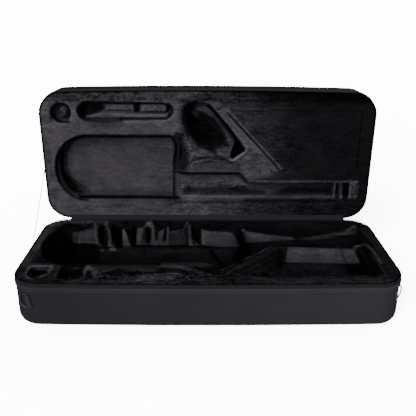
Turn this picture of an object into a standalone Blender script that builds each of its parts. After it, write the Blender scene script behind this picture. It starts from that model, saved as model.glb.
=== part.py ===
"""Tenor saxophone case, soft-covered foam shell, shown open.

Frame: metres, +Z up, +X along the case, -Y towards the opening side. The origin is the
centre of the base's underside. The lid is held just past upright by a stay cord.

Interior sizes are written as (u, w): u along X from the middle, w from the hinge edge.
"""

import math

import bmesh
import bpy
from mathutils import Matrix, Vector

# ---------------------------------------------------------------- driving dimensions
LENGTH = 0.830            # over the rim binding
WIDTH = 0.329             # hinge edge to opening edge, at the corners
BOW = 0.006               # how far the opening side bows out at the middle
BASE_H = 0.104            # underside to rim plane
LID_D = 0.090             # rim plane to the lid's outer face
CORNER_R = 0.066
LID_ANGLE = math.radians(87.8)   # lid plane above the horizontal behind the hinge
SIDE_IN = 0.0010          # cover's outer face, inside the binding's
EDGE_IN = 0.0120          # inset of the flat bottom (or lid top)
EDGE_R = 0.035            # height over which the side rounds into it
SKIN = 0.0015             # cover cloth with its backing
GAP = 0.0003              # clearance between neighbouring pieces
WALL_IN = 0.0220          # inner face of the side foam
FLOOR_TOP = 0.0240        # top of the base floor foam
LEDGE_TOP = 0.0550        # ledge under the notched rear fence
CHANNEL_TOP = 0.0640      # floor of the body tube channel
TRAY_TOP = 0.0540         # floor of the accessory compartment
PAD_TOP = 0.0980          # tops of the inner blocks
RIM_SET = 0.0015          # side foam below the rim plane
LID_FLOOR = 0.0765        # depth at which the lid's top foam starts
ZIP_END = 0.270           # |x| at which the zipper runs out on the hinge side
HINGE_Y = WIDTH / 2
HINGE_Z = BASE_H


# ---------------------------------------------------------------- scene and materials
for old in list(bpy.data.objects):
    bpy.data.objects.remove(old)

PARTS = bpy.data.collections.new("tenor_saxophone_case")
CUTTERS = bpy.data.collections.new("cutters")
bpy.context.scene.collection.children.link(PARTS)
bpy.context.scene.collection.children.link(CUTTERS)


def material(name, colour, roughness, metallic=0.0):
    made = bpy.data.materials.new(name)
    made.use_nodes = True
    shader = made.node_tree.nodes["Principled BSDF"]
    shader.inputs["Base Color"].default_value = (*colour, 1.0)
    shader.inputs["Roughness"].default_value = roughness
    shader.inputs["Metallic"].default_value = metallic
    made.diffuse_color = (*colour, 1.0)
    return made


NYLON = material("cover_nylon", (0.020, 0.020, 0.023), 0.75)
BINDING = material("binding_tape", (0.028, 0.028, 0.032), 0.8)
ZIPPER = material("zipper_tape", (0.024, 0.024, 0.027), 0.85)
COIL = material("zipper_coil", (0.012, 0.012, 0.013), 0.35)
PLUSH = material("plush_foam", (0.016, 0.016, 0.019), 0.95)
METAL = material("dark_metal", (0.10, 0.10, 0.11), 0.3, 1.0)
WEBBING = material("webbing", (0.018, 0.018, 0.020), 0.85)
MOULDED = material("moulded_black", (0.015, 0.015, 0.016), 0.5)
CORD = material("cord", (0.012, 0.012, 0.013), 0.7)


# ---------------------------------------------------------------- small helpers
def link(name, mesh, look, where=None, cutter=False):
    made = bpy.data.objects.new(name, mesh)
    (CUTTERS if cutter else PARTS).objects.link(made)
    if cutter:
        made.hide_render = True
        made.display_type = "WIRE"
    else:
        made.data.materials.append(material_of(name, look))
    if where is not None:
        made.parent = where
    return made


def material_of(name, look):
    own = look.copy()
    own.name = name + "_" + look.name
    return own


def finish_mesh(bm, name):
    bmesh.ops.recalc_face_normals(bm, faces=bm.faces)
    mesh = bpy.data.meshes.new(name)
    bm.to_mesh(mesh)
    bm.free()
    return mesh


def loft(name, rings, look, where=None, cutter=False):
    """A closed solid through rings of equal length, with flat ends."""
    bm = bmesh.new()
    rows = [[bm.verts.new(p) for p in ring] for ring in rings]
    n = len(rows[0])
    for a, b in zip(rows, rows[1:]):
        for i in range(n):
            j = (i + 1) % n
            bm.faces.new((a[i], a[j], b[j], b[i]))
    bm.faces.new(list(reversed(rows[0])))
    bm.faces.new(rows[-1])
    return link(name, finish_mesh(bm, name), look, where, cutter)


def slab(name, points, z0, z1, look, where=None, cutter=False):
    """A flat outline extruded from z0 to z1."""
    bm = bmesh.new()
    face = bm.faces.new([bm.verts.new((x, y, z0)) for x, y in points])
    out = bmesh.ops.extrude_face_region(bm, geom=[face])
    moved = [v for v in out["geom"] if isinstance(v, bmesh.types.BMVert)]
    bmesh.ops.translate(bm, verts=moved, vec=(0, 0, z1 - z0))
    return link(name, finish_mesh(bm, name), look, where, cutter)


def box(name, low, high, look, where=None, cutter=False):
    bm = bmesh.new()
    bmesh.ops.create_cube(bm, size=1.0)
    size = [h - l for l, h in zip(low, high)]
    mid = [(h + l) / 2 for l, h in zip(low, high)]
    bmesh.ops.scale(bm, vec=size, verts=bm.verts)
    bmesh.ops.translate(bm, vec=mid, verts=bm.verts)
    return link(name, finish_mesh(bm, name), look, where, cutter)


def rod(name, a, b, radius, look, sides=16, where=None, cutter=False):
    """A cylinder from a to b."""
    a, b = Vector(a), Vector(b)
    bm = bmesh.new()
    bmesh.ops.create_cone(bm, cap_ends=True, segments=sides, radius1=radius,
                          radius2=radius, depth=(b - a).length)
    turn = (b - a).to_track_quat("Z", "Y").to_matrix().to_4x4()
    bmesh.ops.transform(bm, matrix=Matrix.Translation((a + b) / 2) @ turn, verts=bm.verts)
    return link(name, finish_mesh(bm, name), look, where, cutter)


def wire(name, points, radius, look, closed=False, where=None, fine=2):
    """A round wire through the points: a POLY curve with a bevel, made a mesh."""
    curve = bpy.data.curves.new(name, "CURVE")
    curve.dimensions = "3D"
    curve.bevel_depth = radius
    curve.bevel_resolution = fine
    curve.use_fill_caps = True
    line = curve.splines.new("POLY")
    line.points.add(len(points) - 1)
    for spot, p in zip(line.points, points):
        spot.co = (*p, 1.0)
    line.use_cyclic_u = closed
    drawn = bpy.data.objects.new(name + "_line", curve)
    CUTTERS.objects.link(drawn)
    bpy.context.view_layer.update()
    shape = bpy.data.meshes.new_from_object(
        drawn.evaluated_get(bpy.context.evaluated_depsgraph_get()))
    bpy.data.objects.remove(drawn)
    bm = bmesh.new()
    bm.from_mesh(shape)
    bmesh.ops.remove_doubles(bm, verts=bm.verts, dist=1e-6)
    shape.materials.clear()
    bmesh.ops.recalc_face_normals(bm, faces=bm.faces)
    bm.to_mesh(shape)
    bm.free()
    made = link(name, shape, look, where)
    smooth(made)
    return made


def bevel(obj, width, segments=2, angle=40):
    m = obj.modifiers.new("edges", "BEVEL")
    m.width = width
    m.segments = segments
    m.limit_method = "ANGLE"
    m.angle_limit = math.radians(angle)
    m.use_clamp_overlap = True
    return obj


def boolean(obj, other, operation="DIFFERENCE"):
    m = obj.modifiers.new(operation.lower(), "BOOLEAN")
    m.operation = operation
    m.object = other
    m.solver = "EXACT"
    return obj


def smooth(obj):
    obj.data.shade_smooth()
    obj.data.set_sharp_from_angle(angle=math.radians(35))


def curve_through(points, per=4, closed=False):
    """Points on a Catmull-Rom line through the given ones."""
    n = len(points)
    out = []
    for i in range(n if closed else n - 1):
        p = [Vector(points[(i + k) % n] if closed else points[min(max(i + k, 0), n - 1)])
             for k in (-1, 0, 1, 2)]
        for s in range(per):
            t = s / per
            out.append(0.5 * (2 * p[1] + (p[2] - p[0]) * t
                              + (2 * p[0] - 5 * p[1] + 4 * p[2] - p[3]) * t * t
                              + (3 * p[1] - p[0] - 3 * p[2] + p[3]) * t ** 3))
    if not closed:
        out.append(Vector(points[-1]))
    return [tuple(p) for p in out]


def rim_line(inset, corner=7, front=6):
    """The case's outline moved in by inset, from the hinge side's left end round the
    opening side to its right end, anticlockwise from above."""
    r = CORNER_R - inset
    hx, hy = LENGTH / 2 - CORNER_R, WIDTH / 2 - CORNER_R
    out = [(-ZIP_END, hy + r)]
    for cx, cy, start in ((-hx, hy, 90), (-hx, -hy, 180), (hx, -hy, 270), (hx, hy, 0)):
        for k in range(corner + 1):
            a = math.radians(start + 90 * k / corner)
            out.append((cx + r * math.cos(a), cy + r * math.sin(a)))
        if start == 180:
            for k in range(1, front):
                out.append((-hx + 2 * hx * k / front, -hy - r))
    out.append((ZIP_END, hy + r))
    half = LENGTH / 2
    return [(x, y - BOW * max(0.0, 1 - (x / half) ** 2) * (1 if y < -hy / 2 else 0))
            for x, y in out]


def side_profile(depth, offset=0.0, top=None):
    """The rounded side as (inset, height above the bottom), bottom to top, moved
    inwards by offset."""
    pts = []
    for deg in (90, 74, 58, 42, 26, 10, 0):
        a = math.radians(deg)
        pts.append((SIDE_IN + (EDGE_IN - SIDE_IN) * (1 - math.cos(a)),
                    EDGE_R * (1 - math.sin(a))))
    pts.append((SIDE_IN, depth if top is None else top))
    out = []
    for i, (p, h) in enumerate(pts):
        a, b = pts[max(i - 1, 0)], pts[min(i + 1, len(pts) - 1)]
        d = Vector((b[0] - a[0], b[1] - a[1])).normalized()
        if i == 0:
            d = Vector((-1.0, 0.0))
        if i >= len(pts) - 2:
            d = Vector((0.0, 1.0))
        # the side's inward normal, in (inset, height)
        out.append((p + d.y * offset, h - d.x * offset))
    return out


def swept(name, section, look, flip=None, ends=False, where=None, step=1):
    """A section in (inset, z) carried round the rim line. With ends it stops where the
    zipper does; without, it closes along the hinge side."""
    lines = [rim_line(i) for i, _ in section]
    n, m = len(lines[0]), len(section)
    bm = bmesh.new()
    grid = []
    for i in range(n):
        row = []
        for j in range(m):
            x, y = lines[j][i]
            row.append(bm.verts.new(place(x, y, section[j][1], flip)))
        grid.append(row)
    for i in range(n - 1 if ends else n):
        a, b = grid[i], grid[(i + 1) % n]
        for j in range(m):
            k = (j + 1) % m
            bm.faces.new((a[j], a[k], b[k], b[j]))
    if ends:
        bm.faces.new(grid[0])
        bm.faces.new(list(reversed(grid[-1])))
    return link(name, finish_mesh(bm, name), look, where)


def place(x, y, z, flip):
    """Base coordinates, or the lid's own: v from the hinge, z minus the depth."""
    return (x, WIDTH / 2 - y, z) if flip else (x, y, z)


def base_uw(points):
    return [(u / 1000, WIDTH / 2 - w / 1000) for u, w in points]


def lid_uv(points):
    return [(u / 1000, v / 1000) for u, v in points]


# ---------------------------------------------------------------- empties on the joints
def pivot(name, where, rotation=None, parent=None):
    made = bpy.data.objects.new(name, None)
    made.empty_display_size = 0.02
    PARTS.objects.link(made)
    made.location = where
    if rotation is not None:
        made.rotation_euler = rotation
    made.parent = parent
    return made


LID = pivot("lid_hinge_axis", (0, HINGE_Y, HINGE_Z), (LID_ANGLE, 0, 0))


# ---------------------------------------------------------------- covers and foam shells
def tray(prefix, depth, flip, where, floor_at):
    """Cover, floor foam, side foam and zipper half of one half of the case. Heights are
    above the outer face; up() turns them into the half's own z."""
    def up(h):
        return (h - depth) if flip else h

    flat = rim_line(EDGE_IN + GAP)
    pts = [place(x, y, 0, flip)[:2] for x, y in flat]
    slab(prefix + ("_top_cover" if flip else "_bottom_cover"), pts, up(0.0), up(SKIN), NYLON, where)

    outer = side_profile(depth, 0.0, depth - 0.0215)
    inner = side_profile(depth, SKIN, depth - 0.0215)
    section = [(i, up(h)) for i, h in outer] + [(i, up(h)) for i, h in reversed(inner)]
    smooth(swept(prefix + "_side_cover", section, NYLON, flip, where=where))

    foam = side_profile(depth, SKIN + GAP, depth)
    low = [(i, h) for i, h in foam if h < floor_at - 0.002]
    a, b = [(p, q) for p, q in zip(foam, foam[1:]) if p[1] <= floor_at - 0.002 < q[1]][0]
    t = (floor_at - a[1]) / (b[1] - a[1])
    cut = (a[0] + (b[0] - a[0]) * t, floor_at)
    rings = []
    for i, h in low + [cut]:
        rings.append([(*place(x, y, 0, flip)[:2], up(h)) for x, y in rim_line(i)])
    loft(prefix + ("_top_foam" if flip else "_floor_foam"), rings, PLUSH, where)

    start = (cut[0], floor_at + GAP)
    rest = [(max(i, SIDE_IN + SKIN + GAP), h) for i, h in foam if h > floor_at + 0.002][:-1]
    # the foam's outer face follows the cover, then its top edge is rounded over
    top = depth - RIM_SET
    section = [start] + rest + [(SIDE_IN + SKIN + GAP, top - 0.001), (0.0038, top),
               (WALL_IN - 0.005, top), (WALL_IN - 0.0015, top - 0.0015), (WALL_IN, top - 0.005),
               (WALL_IN, floor_at + GAP)]
    swept(prefix + "_wall_foam", [(i, up(h)) for i, h in section], PLUSH, flip, where=where)

    def band(name, i0, i1, h0, h1, look):
        sec = [(i0 + 0.0003, h0), (i1, h0), (i1, h1), (i0 + 0.0003, h1), (i0, h1 - 0.0006), (i0, h0 + 0.0006)]
        swept(prefix + name, [(i, up(h)) for i, h in sec], look, flip, ends=True, where=where)

    band("_binding", 0.0, 0.0024, depth - 0.0212, depth - 0.0092, BINDING)
    band("_zipper_tape", 0.0008, 0.0024, depth - 0.0089, depth - 0.0031, ZIPPER)
    coil = []
    for k in range(6):
        a = 2 * math.pi * (k + 0.5) / 6
        coil.append((0.0016 + 0.0011 * math.cos(a), depth - 0.0017 + 0.0011 * math.sin(a)))
    swept(prefix + "_zipper_coil", [(i, up(h)) for i, h in coil], COIL, flip, ends=True, where=where)


tray("base", BASE_H, False, None, FLOOR_TOP)
tray("lid", LID_D, True, LID, LID_D - LID_FLOOR)


# ---------------------------------------------------------------- guides that trim blocks
def inside_guide(name, depth, flip, where):
    line = rim_line(WALL_IN + GAP)
    rings = []
    for z in ((-depth - 0.01, 0.01) if flip else (-0.01, depth + 0.01)):
        rings.append([(*place(x, y, 0, flip)[:2], z) for x, y in line])
    return loft(name, rings, None, where, cutter=True)


BASE_INSIDE = inside_guide("base_inside_guide", BASE_H, False, None)
LID_INSIDE = inside_guide("lid_inside_guide", LID_D, True, LID)


# ---------------------------------------------------------------- base: inner foam blocks
LOW = FLOOR_TOP + GAP
bell_edge = [(-392.0, 141), (-391.0, 158), (-376, 200), (-350, 226), (-310, 243), (-240, 247.5)]
left_curve = curve_through(bell_edge, 3)

corner_block = slab("base_bell_corner_block",
                    base_uw([(-398, 15), (-330.5, 15), (-330.5, 38), (-352, 38)]
                            + curve_through([(-366, 46), (-381, 80), (-389, 112), (-392, 140)], 3)
                            + [(-398, 140)]), LOW, PAD_TOP, PLUSH)
boolean(corner_block, BASE_INSIDE, "INTERSECT")

# The front foam is a pocket block at the left, and a block with the shallow crook recess
# in its top layer at the right.
pocket_outline = left_curve[:-3] + [(-260.3, 246.5), (-260.3, 330), (-405, 330), (-405, 141)]
pocket_block = slab("base_front_pocket_block", base_uw(pocket_outline), LOW, PAD_TOP, PLUSH)
boolean(pocket_block, BASE_INSIDE, "INTERSECT")
# pocket with a straight back and a round front, and the mouthpiece pocket beside it
d_shape = [(-387, 252), (-343, 252)] + [(-365 + 22 * math.cos(math.radians(a)), 279 + 25 * math.sin(math.radians(a)))
                                        for a in range(0, 181, 20)]
boolean(pocket_block, slab("base_round_pocket_cut", base_uw(d_shape), 0.058, 0.12, None, cutter=True))
boolean(pocket_block, slab("base_mouthpiece_pocket_cut",
                           base_uw([(-320, 262), (-268, 260), (-268, 303), (-318, 303)]), 0.062, 0.12, None, cutter=True))
crook_outline = [(-260, 246.5), (-240, 247.5), (-150, 244), (-60, 241), (-10, 246), (26, 272), (26, 330), (-260, 330)]
front_block = slab("base_front_block", base_uw(crook_outline), LOW, 0.0757, PLUSH)
boolean(front_block, BASE_INSIDE, "INTERSECT")
crook_block = slab("base_crook_layer", base_uw(crook_outline), 0.0760, PAD_TOP, PLUSH)
boolean(crook_block, BASE_INSIDE, "INTERSECT")
# shallow crook recess, an arched groove
crook = curve_through([(-250, 285), (-215, 268), (-150, 262), (-90, 262), (-45, 276), (-25, 300)], 3)
crook_back = curve_through([(-48, 303), (-68, 290), (-100, 284), (-150, 286), (-205, 292), (-235, 304)], 3)
boolean(crook_block, slab("base_crook_recess_cut", base_uw(crook + crook_back), 0.070, 0.12, None, cutter=True))

# The ledge carries the fence of notched blocks that stands in front of the rear wall.
box("base_rear_ledge", (-0.330, WIDTH / 2 - 0.084, LOW), (0.0850, WIDTH / 2 - 0.0300, LEDGE_TOP), PLUSH)
fence_back, fence_front = WIDTH / 2 - 0.0225, WIDTH / 2 - 0.062
fence_tops = [(-330, 88), (-300, 93), (-282, 98), (78, 98)]
fence = loft("base_rear_fence",
             [[(u / 1000, y, LEDGE_TOP + GAP if low else z / 1000)
               for low, (u, z) in ([(True, fence_tops[0])] + [(False, p) for p in fence_tops] + [(True, fence_tops[-1])])]
              for y in (fence_front, fence_back)], PLUSH)
notches = ((-277, -262, 0.062), (-246, -215, 0.058), (-196, -179, 0.058), (-158, -141, 0.064),
           (-114, -105, 0.064), (-40, -14, 0.058))
for k, (u0, u1, z0) in enumerate(notches):
    boolean(fence, box(f"fence_notch_cut_{k}", (u0 / 1000, fence_front - 0.01, z0), (u1 / 1000, fence_back + 0.01, 0.12),
                       None, cutter=True))

channel = slab("base_channel_floor", base_uw([(85.5, 15), (400, 15), (400, 149), (160, 149), (128, 176), (85.5, 176)]),
               LOW, CHANNEL_TOP, PLUSH)
boolean(channel, BASE_INSIDE, "INTERSECT")
tail_top = curve_through([(88, 98), (130, 92), (200, 80.5), (300, 80.5), (350, 89), (385, 98)], 3)
tail = loft("base_tail_wall",
            [[(88 / 1000, y, CHANNEL_TOP + GAP)] + [(u / 1000, y, z / 1000) for u, z in tail_top]
             + [(385 / 1000, y, CHANNEL_TOP + GAP)] for y in (WIDTH / 2 - 0.062, WIDTH / 2 - 0.0225)], PLUSH)
boolean(tail, BASE_INSIDE, "INTERSECT")
box("base_channel_rib", (0.1725, WIDTH / 2 - 0.1490, CHANNEL_TOP + GAP), (0.3740, WIDTH / 2 - 0.1400, PAD_TOP), PLUSH)

# The diagonal divider: a ridge along its back, then a ramp down to the compartment.
foot = base_uw([(27, 272), (129.5, 176.6), (160.5, 149.6), (172, 149.6), (172, 240), (118, 330), (27, 330)])
brow = base_uw([(27, 272), (129.5, 176.6), (160.5, 149.6), (171, 149.6), (166, 158), (52, 276), (27, 330)])
divider = loft("base_divider", [[(x, y, LOW) for x, y in foot], [(x, y, TRAY_TOP) for x, y in foot],
                                [(x, y, PAD_TOP) for x, y in brow]], PLUSH)
boolean(divider, BASE_INSIDE, "INTERSECT")
tray_floor = slab("base_compartment_floor", base_uw([(172.5, 149.5), (400, 149.5), (400, 330), (118.6, 330), (172.5, 240.2)]),
                  LOW, TRAY_TOP, PLUSH)
boolean(tray_floor, BASE_INSIDE, "INTERSECT")
rail = slab("base_front_rail", base_uw([(140, 300), (374.5, 300), (374.5, 330), (122, 330)]), TRAY_TOP + GAP, PAD_TOP, PLUSH)
boolean(rail, BASE_INSIDE, "INTERSECT")
end_block = slab("base_end_block",
                 base_uw([(375, 149.6)] + curve_through([(375, 160), (379, 190), (381, 225), (379, 265), (375, 292)], 3)
                         + [(375, 330), (405, 330), (405, 149.6)]), TRAY_TOP + GAP, PAD_TOP, PLUSH)
boolean(end_block, BASE_INSIDE, "INTERSECT")


# ---------------------------------------------------------------- lid: inner foam blocks
DEEP = -(LID_FLOOR - GAP)
FACE = -0.0030
left_insert = slab("lid_left_insert", lid_uv([(-405, 10), (-86, 10), (-86, 320), (-405, 320)]), DEEP, FACE, PLUSH, LID)
boolean(left_insert, LID_INSIDE, "INTERSECT")


def recess(name, inset):
    """The bell recess: round at the left, squarer at the right."""
    left = curve_through([(-312, 221), (-350, 207), (-377, 176), (-387, 138), (-379, 98), (-352, 66), (-322, 53)], 3)
    pts = [(-104, 221)] + left + [(-100, 56)]
    mid = Vector((-235, 138))
    moved = []
    for p in pts:
        d = Vector(p) - mid
        sx = 1 - inset / abs(d.x) if abs(d.x) > 1 else 1
        sy = 1 - inset / abs(d.y) if abs(d.y) > 20 else 1 - inset / 83
        moved.append((mid.x + d.x * sx, mid.y + d.y * sy))
    right = [(-82 - inset, 190), (-86.6 - inset, 150), (-86.6 - inset, 66)]
    return moved[:-1] + [(moved[-1][0], moved[-1][1])] + [right[2], right[1], right[0]]


boolean(left_insert, slab("lid_bell_recess_cut", lid_uv([p for p in recess("cut", 0)][:-3] + [(-86.0 + 5, 56), (-86.0 + 5, 221)]),
                          -0.12, 0.01, None, LID, cutter=True))
stadium = ([(-298 + 24 * math.cos(math.radians(a)), 281 + 25 * math.sin(math.radians(a))) for a in range(90, 271, 20)]
           + [(-108 + 20 * math.cos(math.radians(a)), 282 + 20 * math.sin(math.radians(a))) for a in range(-90, 91, 20)])
boolean(left_insert, slab("lid_long_recess_cut", lid_uv(stadium), -0.036, 0.01, None, LID, cutter=True))
boolean(left_insert, rod("lid_round_recess_cut", (-0.361, 0.277, -0.030), (-0.361, 0.277, 0.01), 0.0235, None, 20, LID, cutter=True))

pad_line = [p for p in recess("pad", 0.6)][:-3] + [(-86.6, 57), (-86.6, 220)]
slab("lid_bell_pad", lid_uv(pad_line), DEEP, -0.0600, PLUSH, LID)

mid_line = [(-85.5, 10), (184.6, 10), (184.6, 129.8), (27, 306.5), (27, 325), (-85.5, 325)]
mid_insert = slab("lid_middle_insert", lid_uv(mid_line), DEEP, FACE, PLUSH, LID)
boolean(mid_insert, LID_INSIDE, "INTERSECT")
cavity = [(-56, 226), (-60, 270), (-56, 298), (-30, 303), (4, 300), (50, 245), (96, 187), (62, 160), (10, 166), (-30, 178)]
boolean(mid_insert, slab("lid_deep_cavity_cut", lid_uv(cavity), -0.12, 0.01, None, LID, cutter=True))
wide = [(-100, 63), (103, 63), (103, 101), (82, 124), (-100, 124)]
boolean(mid_insert, slab("lid_wide_channel_cut", lid_uv(wide), -0.044, 0.01, None, LID, cutter=True))
right_insert = slab("lid_right_insert", lid_uv([(185.2, 10), (400, 10), (400, 325), (27.6, 325), (27.6, 306.7), (185.2, 130.0)]),
                    DEEP, FACE, PLUSH, LID)
boolean(right_insert, LID_INSIDE, "INTERSECT")
tube = slab("lid_narrow_channel_cut", lid_uv([(102, 60), (389, 60), (389, 98), (102, 98)]), -0.036, 0.01, None, LID, cutter=True)
boolean(mid_insert, tube)
boolean(right_insert, tube)
panel = [(58, 284), (376, 284), (379, 262), (379, 160), (375, 136), (203, 136), (193, 146)]
boolean(right_insert, slab("lid_panel_seat_cut", lid_uv([(56, 285.0), (377, 285.0), (380, 263), (380, 159), (376, 135), (202.5, 135), (191.5, 146)]),
                           -0.0068, 0.01, None, LID, cutter=True))
bevel(slab("lid_pocket_panel", lid_uv(panel), -0.0065, -0.0028, PLUSH, LID), 0.0012, 1)
for name, u0, u1 in (("lid_inner_end_support", 328, 346), ("lid_outer_end_support", 366, 386)):
    bevel(box(name, (u0 / 1000, 0.0605, -0.0357), (u1 / 1000, 0.0975, -0.0060), PLUSH, LID), 0.002, 1)


# ---------------------------------------------------------------- cloth hinge
# Outside: down the rear wall of the base, and along the hinge wall of the lid.
def strip(name, path, thick, x, look):
    """A cloth strip: a bent line in the YZ plane with a thickness, carried along X."""
    line = [Vector(p) for p in path]
    inner = []
    for i, p in enumerate(line):
        a, b = line[max(i - 1, 0)], line[min(i + 1, len(line) - 1)]
        d = (b - a).normalized()
        inner.append(p + Vector((-d.y, d.x)) * thick)
    ring = line + list(reversed(inner))
    return loft(name, [[(s * x, p.x, p.y) for p in ring] for s in (-1, 1)], look)


lid_d = Vector((math.cos(LID_ANGLE), math.sin(LID_ANGLE)))       # along the lid from the hinge
lid_t = Vector((math.sin(LID_ANGLE), -math.cos(LID_ANGLE)))      # into the lid's depth
hinge = Vector((HINGE_Y, HINGE_Z))
o = 0.0004
outer_path = [hinge + Vector((o - SIDE_IN + 0.0, -0.0210)), hinge + Vector((o - SIDE_IN, -0.0030)),
              hinge + Vector((o, -0.0012)), hinge + lid_t * 0.0014 - lid_d * 0.0004,
              hinge + lid_t * 0.0035 + lid_d * (SIDE_IN - o), hinge + lid_t * 0.0210 + lid_d * (SIDE_IN - o)]
strip("hinge_strip", outer_path, 0.0008, ZIP_END - 0.0006, WEBBING)
inner_path = [hinge + Vector((-0.0100, -0.0011)), hinge + Vector((-0.0035, -0.0011)), hinge + Vector((-0.0014, -0.0006)),
              hinge + lid_t * 0.0006 + lid_d * 0.0014, hinge + lid_t * 0.0011 + lid_d * 0.0035,
              hinge + lid_t * 0.0011 + lid_d * 0.0100]
strip("hinge_lining", inner_path, 0.0006, ZIP_END - 0.0006, WEBBING)


# ---------------------------------------------------------------- stay cord, left end only
CORD_X = -(LENGTH / 2 + 0.0017)
cord_low = Vector((CORD_X, WIDTH / 2 - 0.1390, BASE_H - 0.0020))
lid_point = hinge + lid_d * 0.1270 + lid_t * 0.0020
cord_high = Vector((CORD_X, lid_point.x, lid_point.y))
route = []
for k in range(25):
    t = k / 24
    p = cord_low.lerp(cord_high, t)
    sag = 0.0050 * 4 * t * (1 - t)
    route.append((p.x, p.y, p.z - sag))
wire("stay_cord", route, 0.0011, CORD)
tab_low = bevel(box("stay_cord_base_tab", (CORD_X - 0.0020, cord_low.y - 0.0045, cord_low.z - 0.0160),
                    (CORD_X + 0.0014, cord_low.y + 0.0045, cord_low.z - 0.0018), WEBBING), 0.0006, 1)
tab_high = bevel(box("stay_cord_lid_tab", (CORD_X - 0.0020, 0.1270 - 0.0045, -0.0178),
                     (CORD_X + 0.0014, 0.1270 + 0.0045, -0.0040), WEBBING, LID), 0.0006, 1)


# ---------------------------------------------------------------- strap rings at the front corners
def ring_set(side, angle, tilt, z):
    """A webbing loop sewn on the corner, and the D-ring that swings in it. angle runs
    from the end of the case (0) to the opening side (90); tilt leans the loop's top."""
    sx = -1 if side == "left" else 1
    a = math.radians(angle)
    n = Vector((sx * math.cos(a), -math.sin(a), 0))
    along = Vector((sx * math.sin(a), math.cos(a), 0))
    r = CORNER_R - SIDE_IN
    x = sx * (LENGTH / 2 - CORNER_R + r * math.cos(a))
    y = -(WIDTH / 2 - CORNER_R + r * math.sin(a)) - BOW * (1 - (x / (LENGTH / 2)) ** 2)
    up = Vector((0, 0, 1)) * math.cos(tilt) + along * math.sin(tilt)
    out = along * math.cos(tilt) - Vector((0, 0, 1)) * math.sin(tilt)
    spot = Vector((x, y, z)) + n * 0.0038
    turn = Matrix((out, n, up)).transposed().to_4x4()
    if turn.determinant() < 0:
        turn = Matrix((out, -n, up)).transposed().to_4x4()
    hold = pivot(f"strap_ring_{side}_axis", spot)
    hold.rotation_euler = turn.to_euler()
    flat = 1 if turn.col[1].xyz.dot(n) > 0 else -1
    # local axes: X away from the bar, Y across the wall, Z along the bar
    tab = box(f"ring_tab_{side}", (-0.0062, -0.0034, -0.0125), (0.0034, 0.0030, 0.0125), WEBBING, hold)
    if flat < 0:
        tab.data.transform(Matrix.Scale(-1, 4, (0, 1, 0)))
        tab.data.flip_normals()
    bevel(tab, 0.0012, 2)
    boolean(tab, rod(f"ring_tab_bore_{side}", (0, 0, -0.03), (0, 0, 0.03), 0.0022, None, 12, hold, cutter=True))
    line = [(0, 0, -0.0150), (0, 0, 0), (0, 0, 0.0150)]
    for k in range(1, 12):
        t = math.pi * k / 12
        line.append((0.0035 + 0.0205 * math.sin(t) ** 0.9, 0, 0.0160 * math.cos(t)))
    wire(f"strap_ring_{side}", line, 0.0016, METAL, closed=True, where=hold)
    return spot, up, out, n


ring_set("left", 66, math.radians(13), 0.0610)
ring_set("right", 46, math.radians(-14), 0.0680)


# ---------------------------------------------------------------- carry handle on the spine
HANDLE_Z = 0.0760
HANDLE_Y = WIDTH / 2 + 0.0120
HANDLE = pivot("handle_axis", (0, HANDLE_Y, HANDLE_Z))
bail = [(-0.0880, 0, 0), (-0.0800, 0, 0), (-0.0762, 0, -0.0010), (-0.0745, 0, -0.0045), (-0.0740, 0, -0.0150),
        (-0.0730, 0, -0.0290), (-0.0700, 0, -0.0360), (-0.0640, 0, -0.0395), (-0.0560, 0, -0.0400)]
bail += [(-x, y, z) for x, y, z in reversed(bail)]
wire("handle_bail", bail, 0.0032, METAL, where=HANDLE, fine=2)
grip_line = [(0.0102, -0.0530), (0.0108, -0.0480), (0.0092, -0.0430)] + [(0.0092 + 0.0004 * math.cos(k * math.pi), -0.0430 + 0.0143 * k)
             for k in range(1, 6)] + [(0.0092, 0.0430), (0.0108, 0.0480), (0.0102, 0.0530), (0.0036, 0.0530), (0.0036, -0.0530)]
bm = bmesh.new()
rows = []
for k in range(14):
    a = 2 * math.pi * k / 14
    rows.append([bm.verts.new((x, r * math.cos(a) * 0.85, -0.0400 + r * math.sin(a))) if r > 0.004
                 else bm.verts.new((x, r * math.cos(a), -0.0400 + r * math.sin(a))) for r, x in grip_line])
for a, b in zip(rows, rows[1:] + rows[:1]):
    for i in range(len(grip_line)):
        j = (i + 1) % len(grip_line)
        bm.faces.new((a[i], a[j], b[j], b[i]))
grip = link("handle_grip", finish_mesh(bm, "handle_grip"), MOULDED, HANDLE)
smooth(grip)

for side, sx in (("left", -1), ("right", 1)):
    block = bevel(box(f"handle_anchor_{side}", (-0.0075, -(HANDLE_Y - WIDTH / 2 + SIDE_IN - 0.0004), -0.0170),
                      (0.0075, 0.0055, 0.0060), MOULDED), 0.0015, 2)
    block.location = (sx * 0.0860, HANDLE_Y, HANDLE_Z)
    boolean(block, rod(f"handle_anchor_bore_{side}", (sx * 0.0905, HANDLE_Y, HANDLE_Z), (sx * 0.0700, HANDLE_Y, HANDLE_Z),
                       0.0036, None, 14, cutter=True))

for side, sx in (("left", -1), ("right", 1)):
    head = bmesh.new()
    bmesh.ops.create_cone(head, cap_ends=True, segments=12, radius1=0.0026, radius2=0.0020, depth=0.0012)
    bmesh.ops.rotate(head, verts=head.verts, matrix=Matrix.Rotation(-math.pi / 2, 3, "X"))
    made = link(f"handle_screw_{side}", finish_mesh(head, f"handle_screw_{side}"), METAL)
    made.location = (sx * 0.0860, HANDLE_Y + 0.0064, HANDLE_Z - 0.0110)


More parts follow.
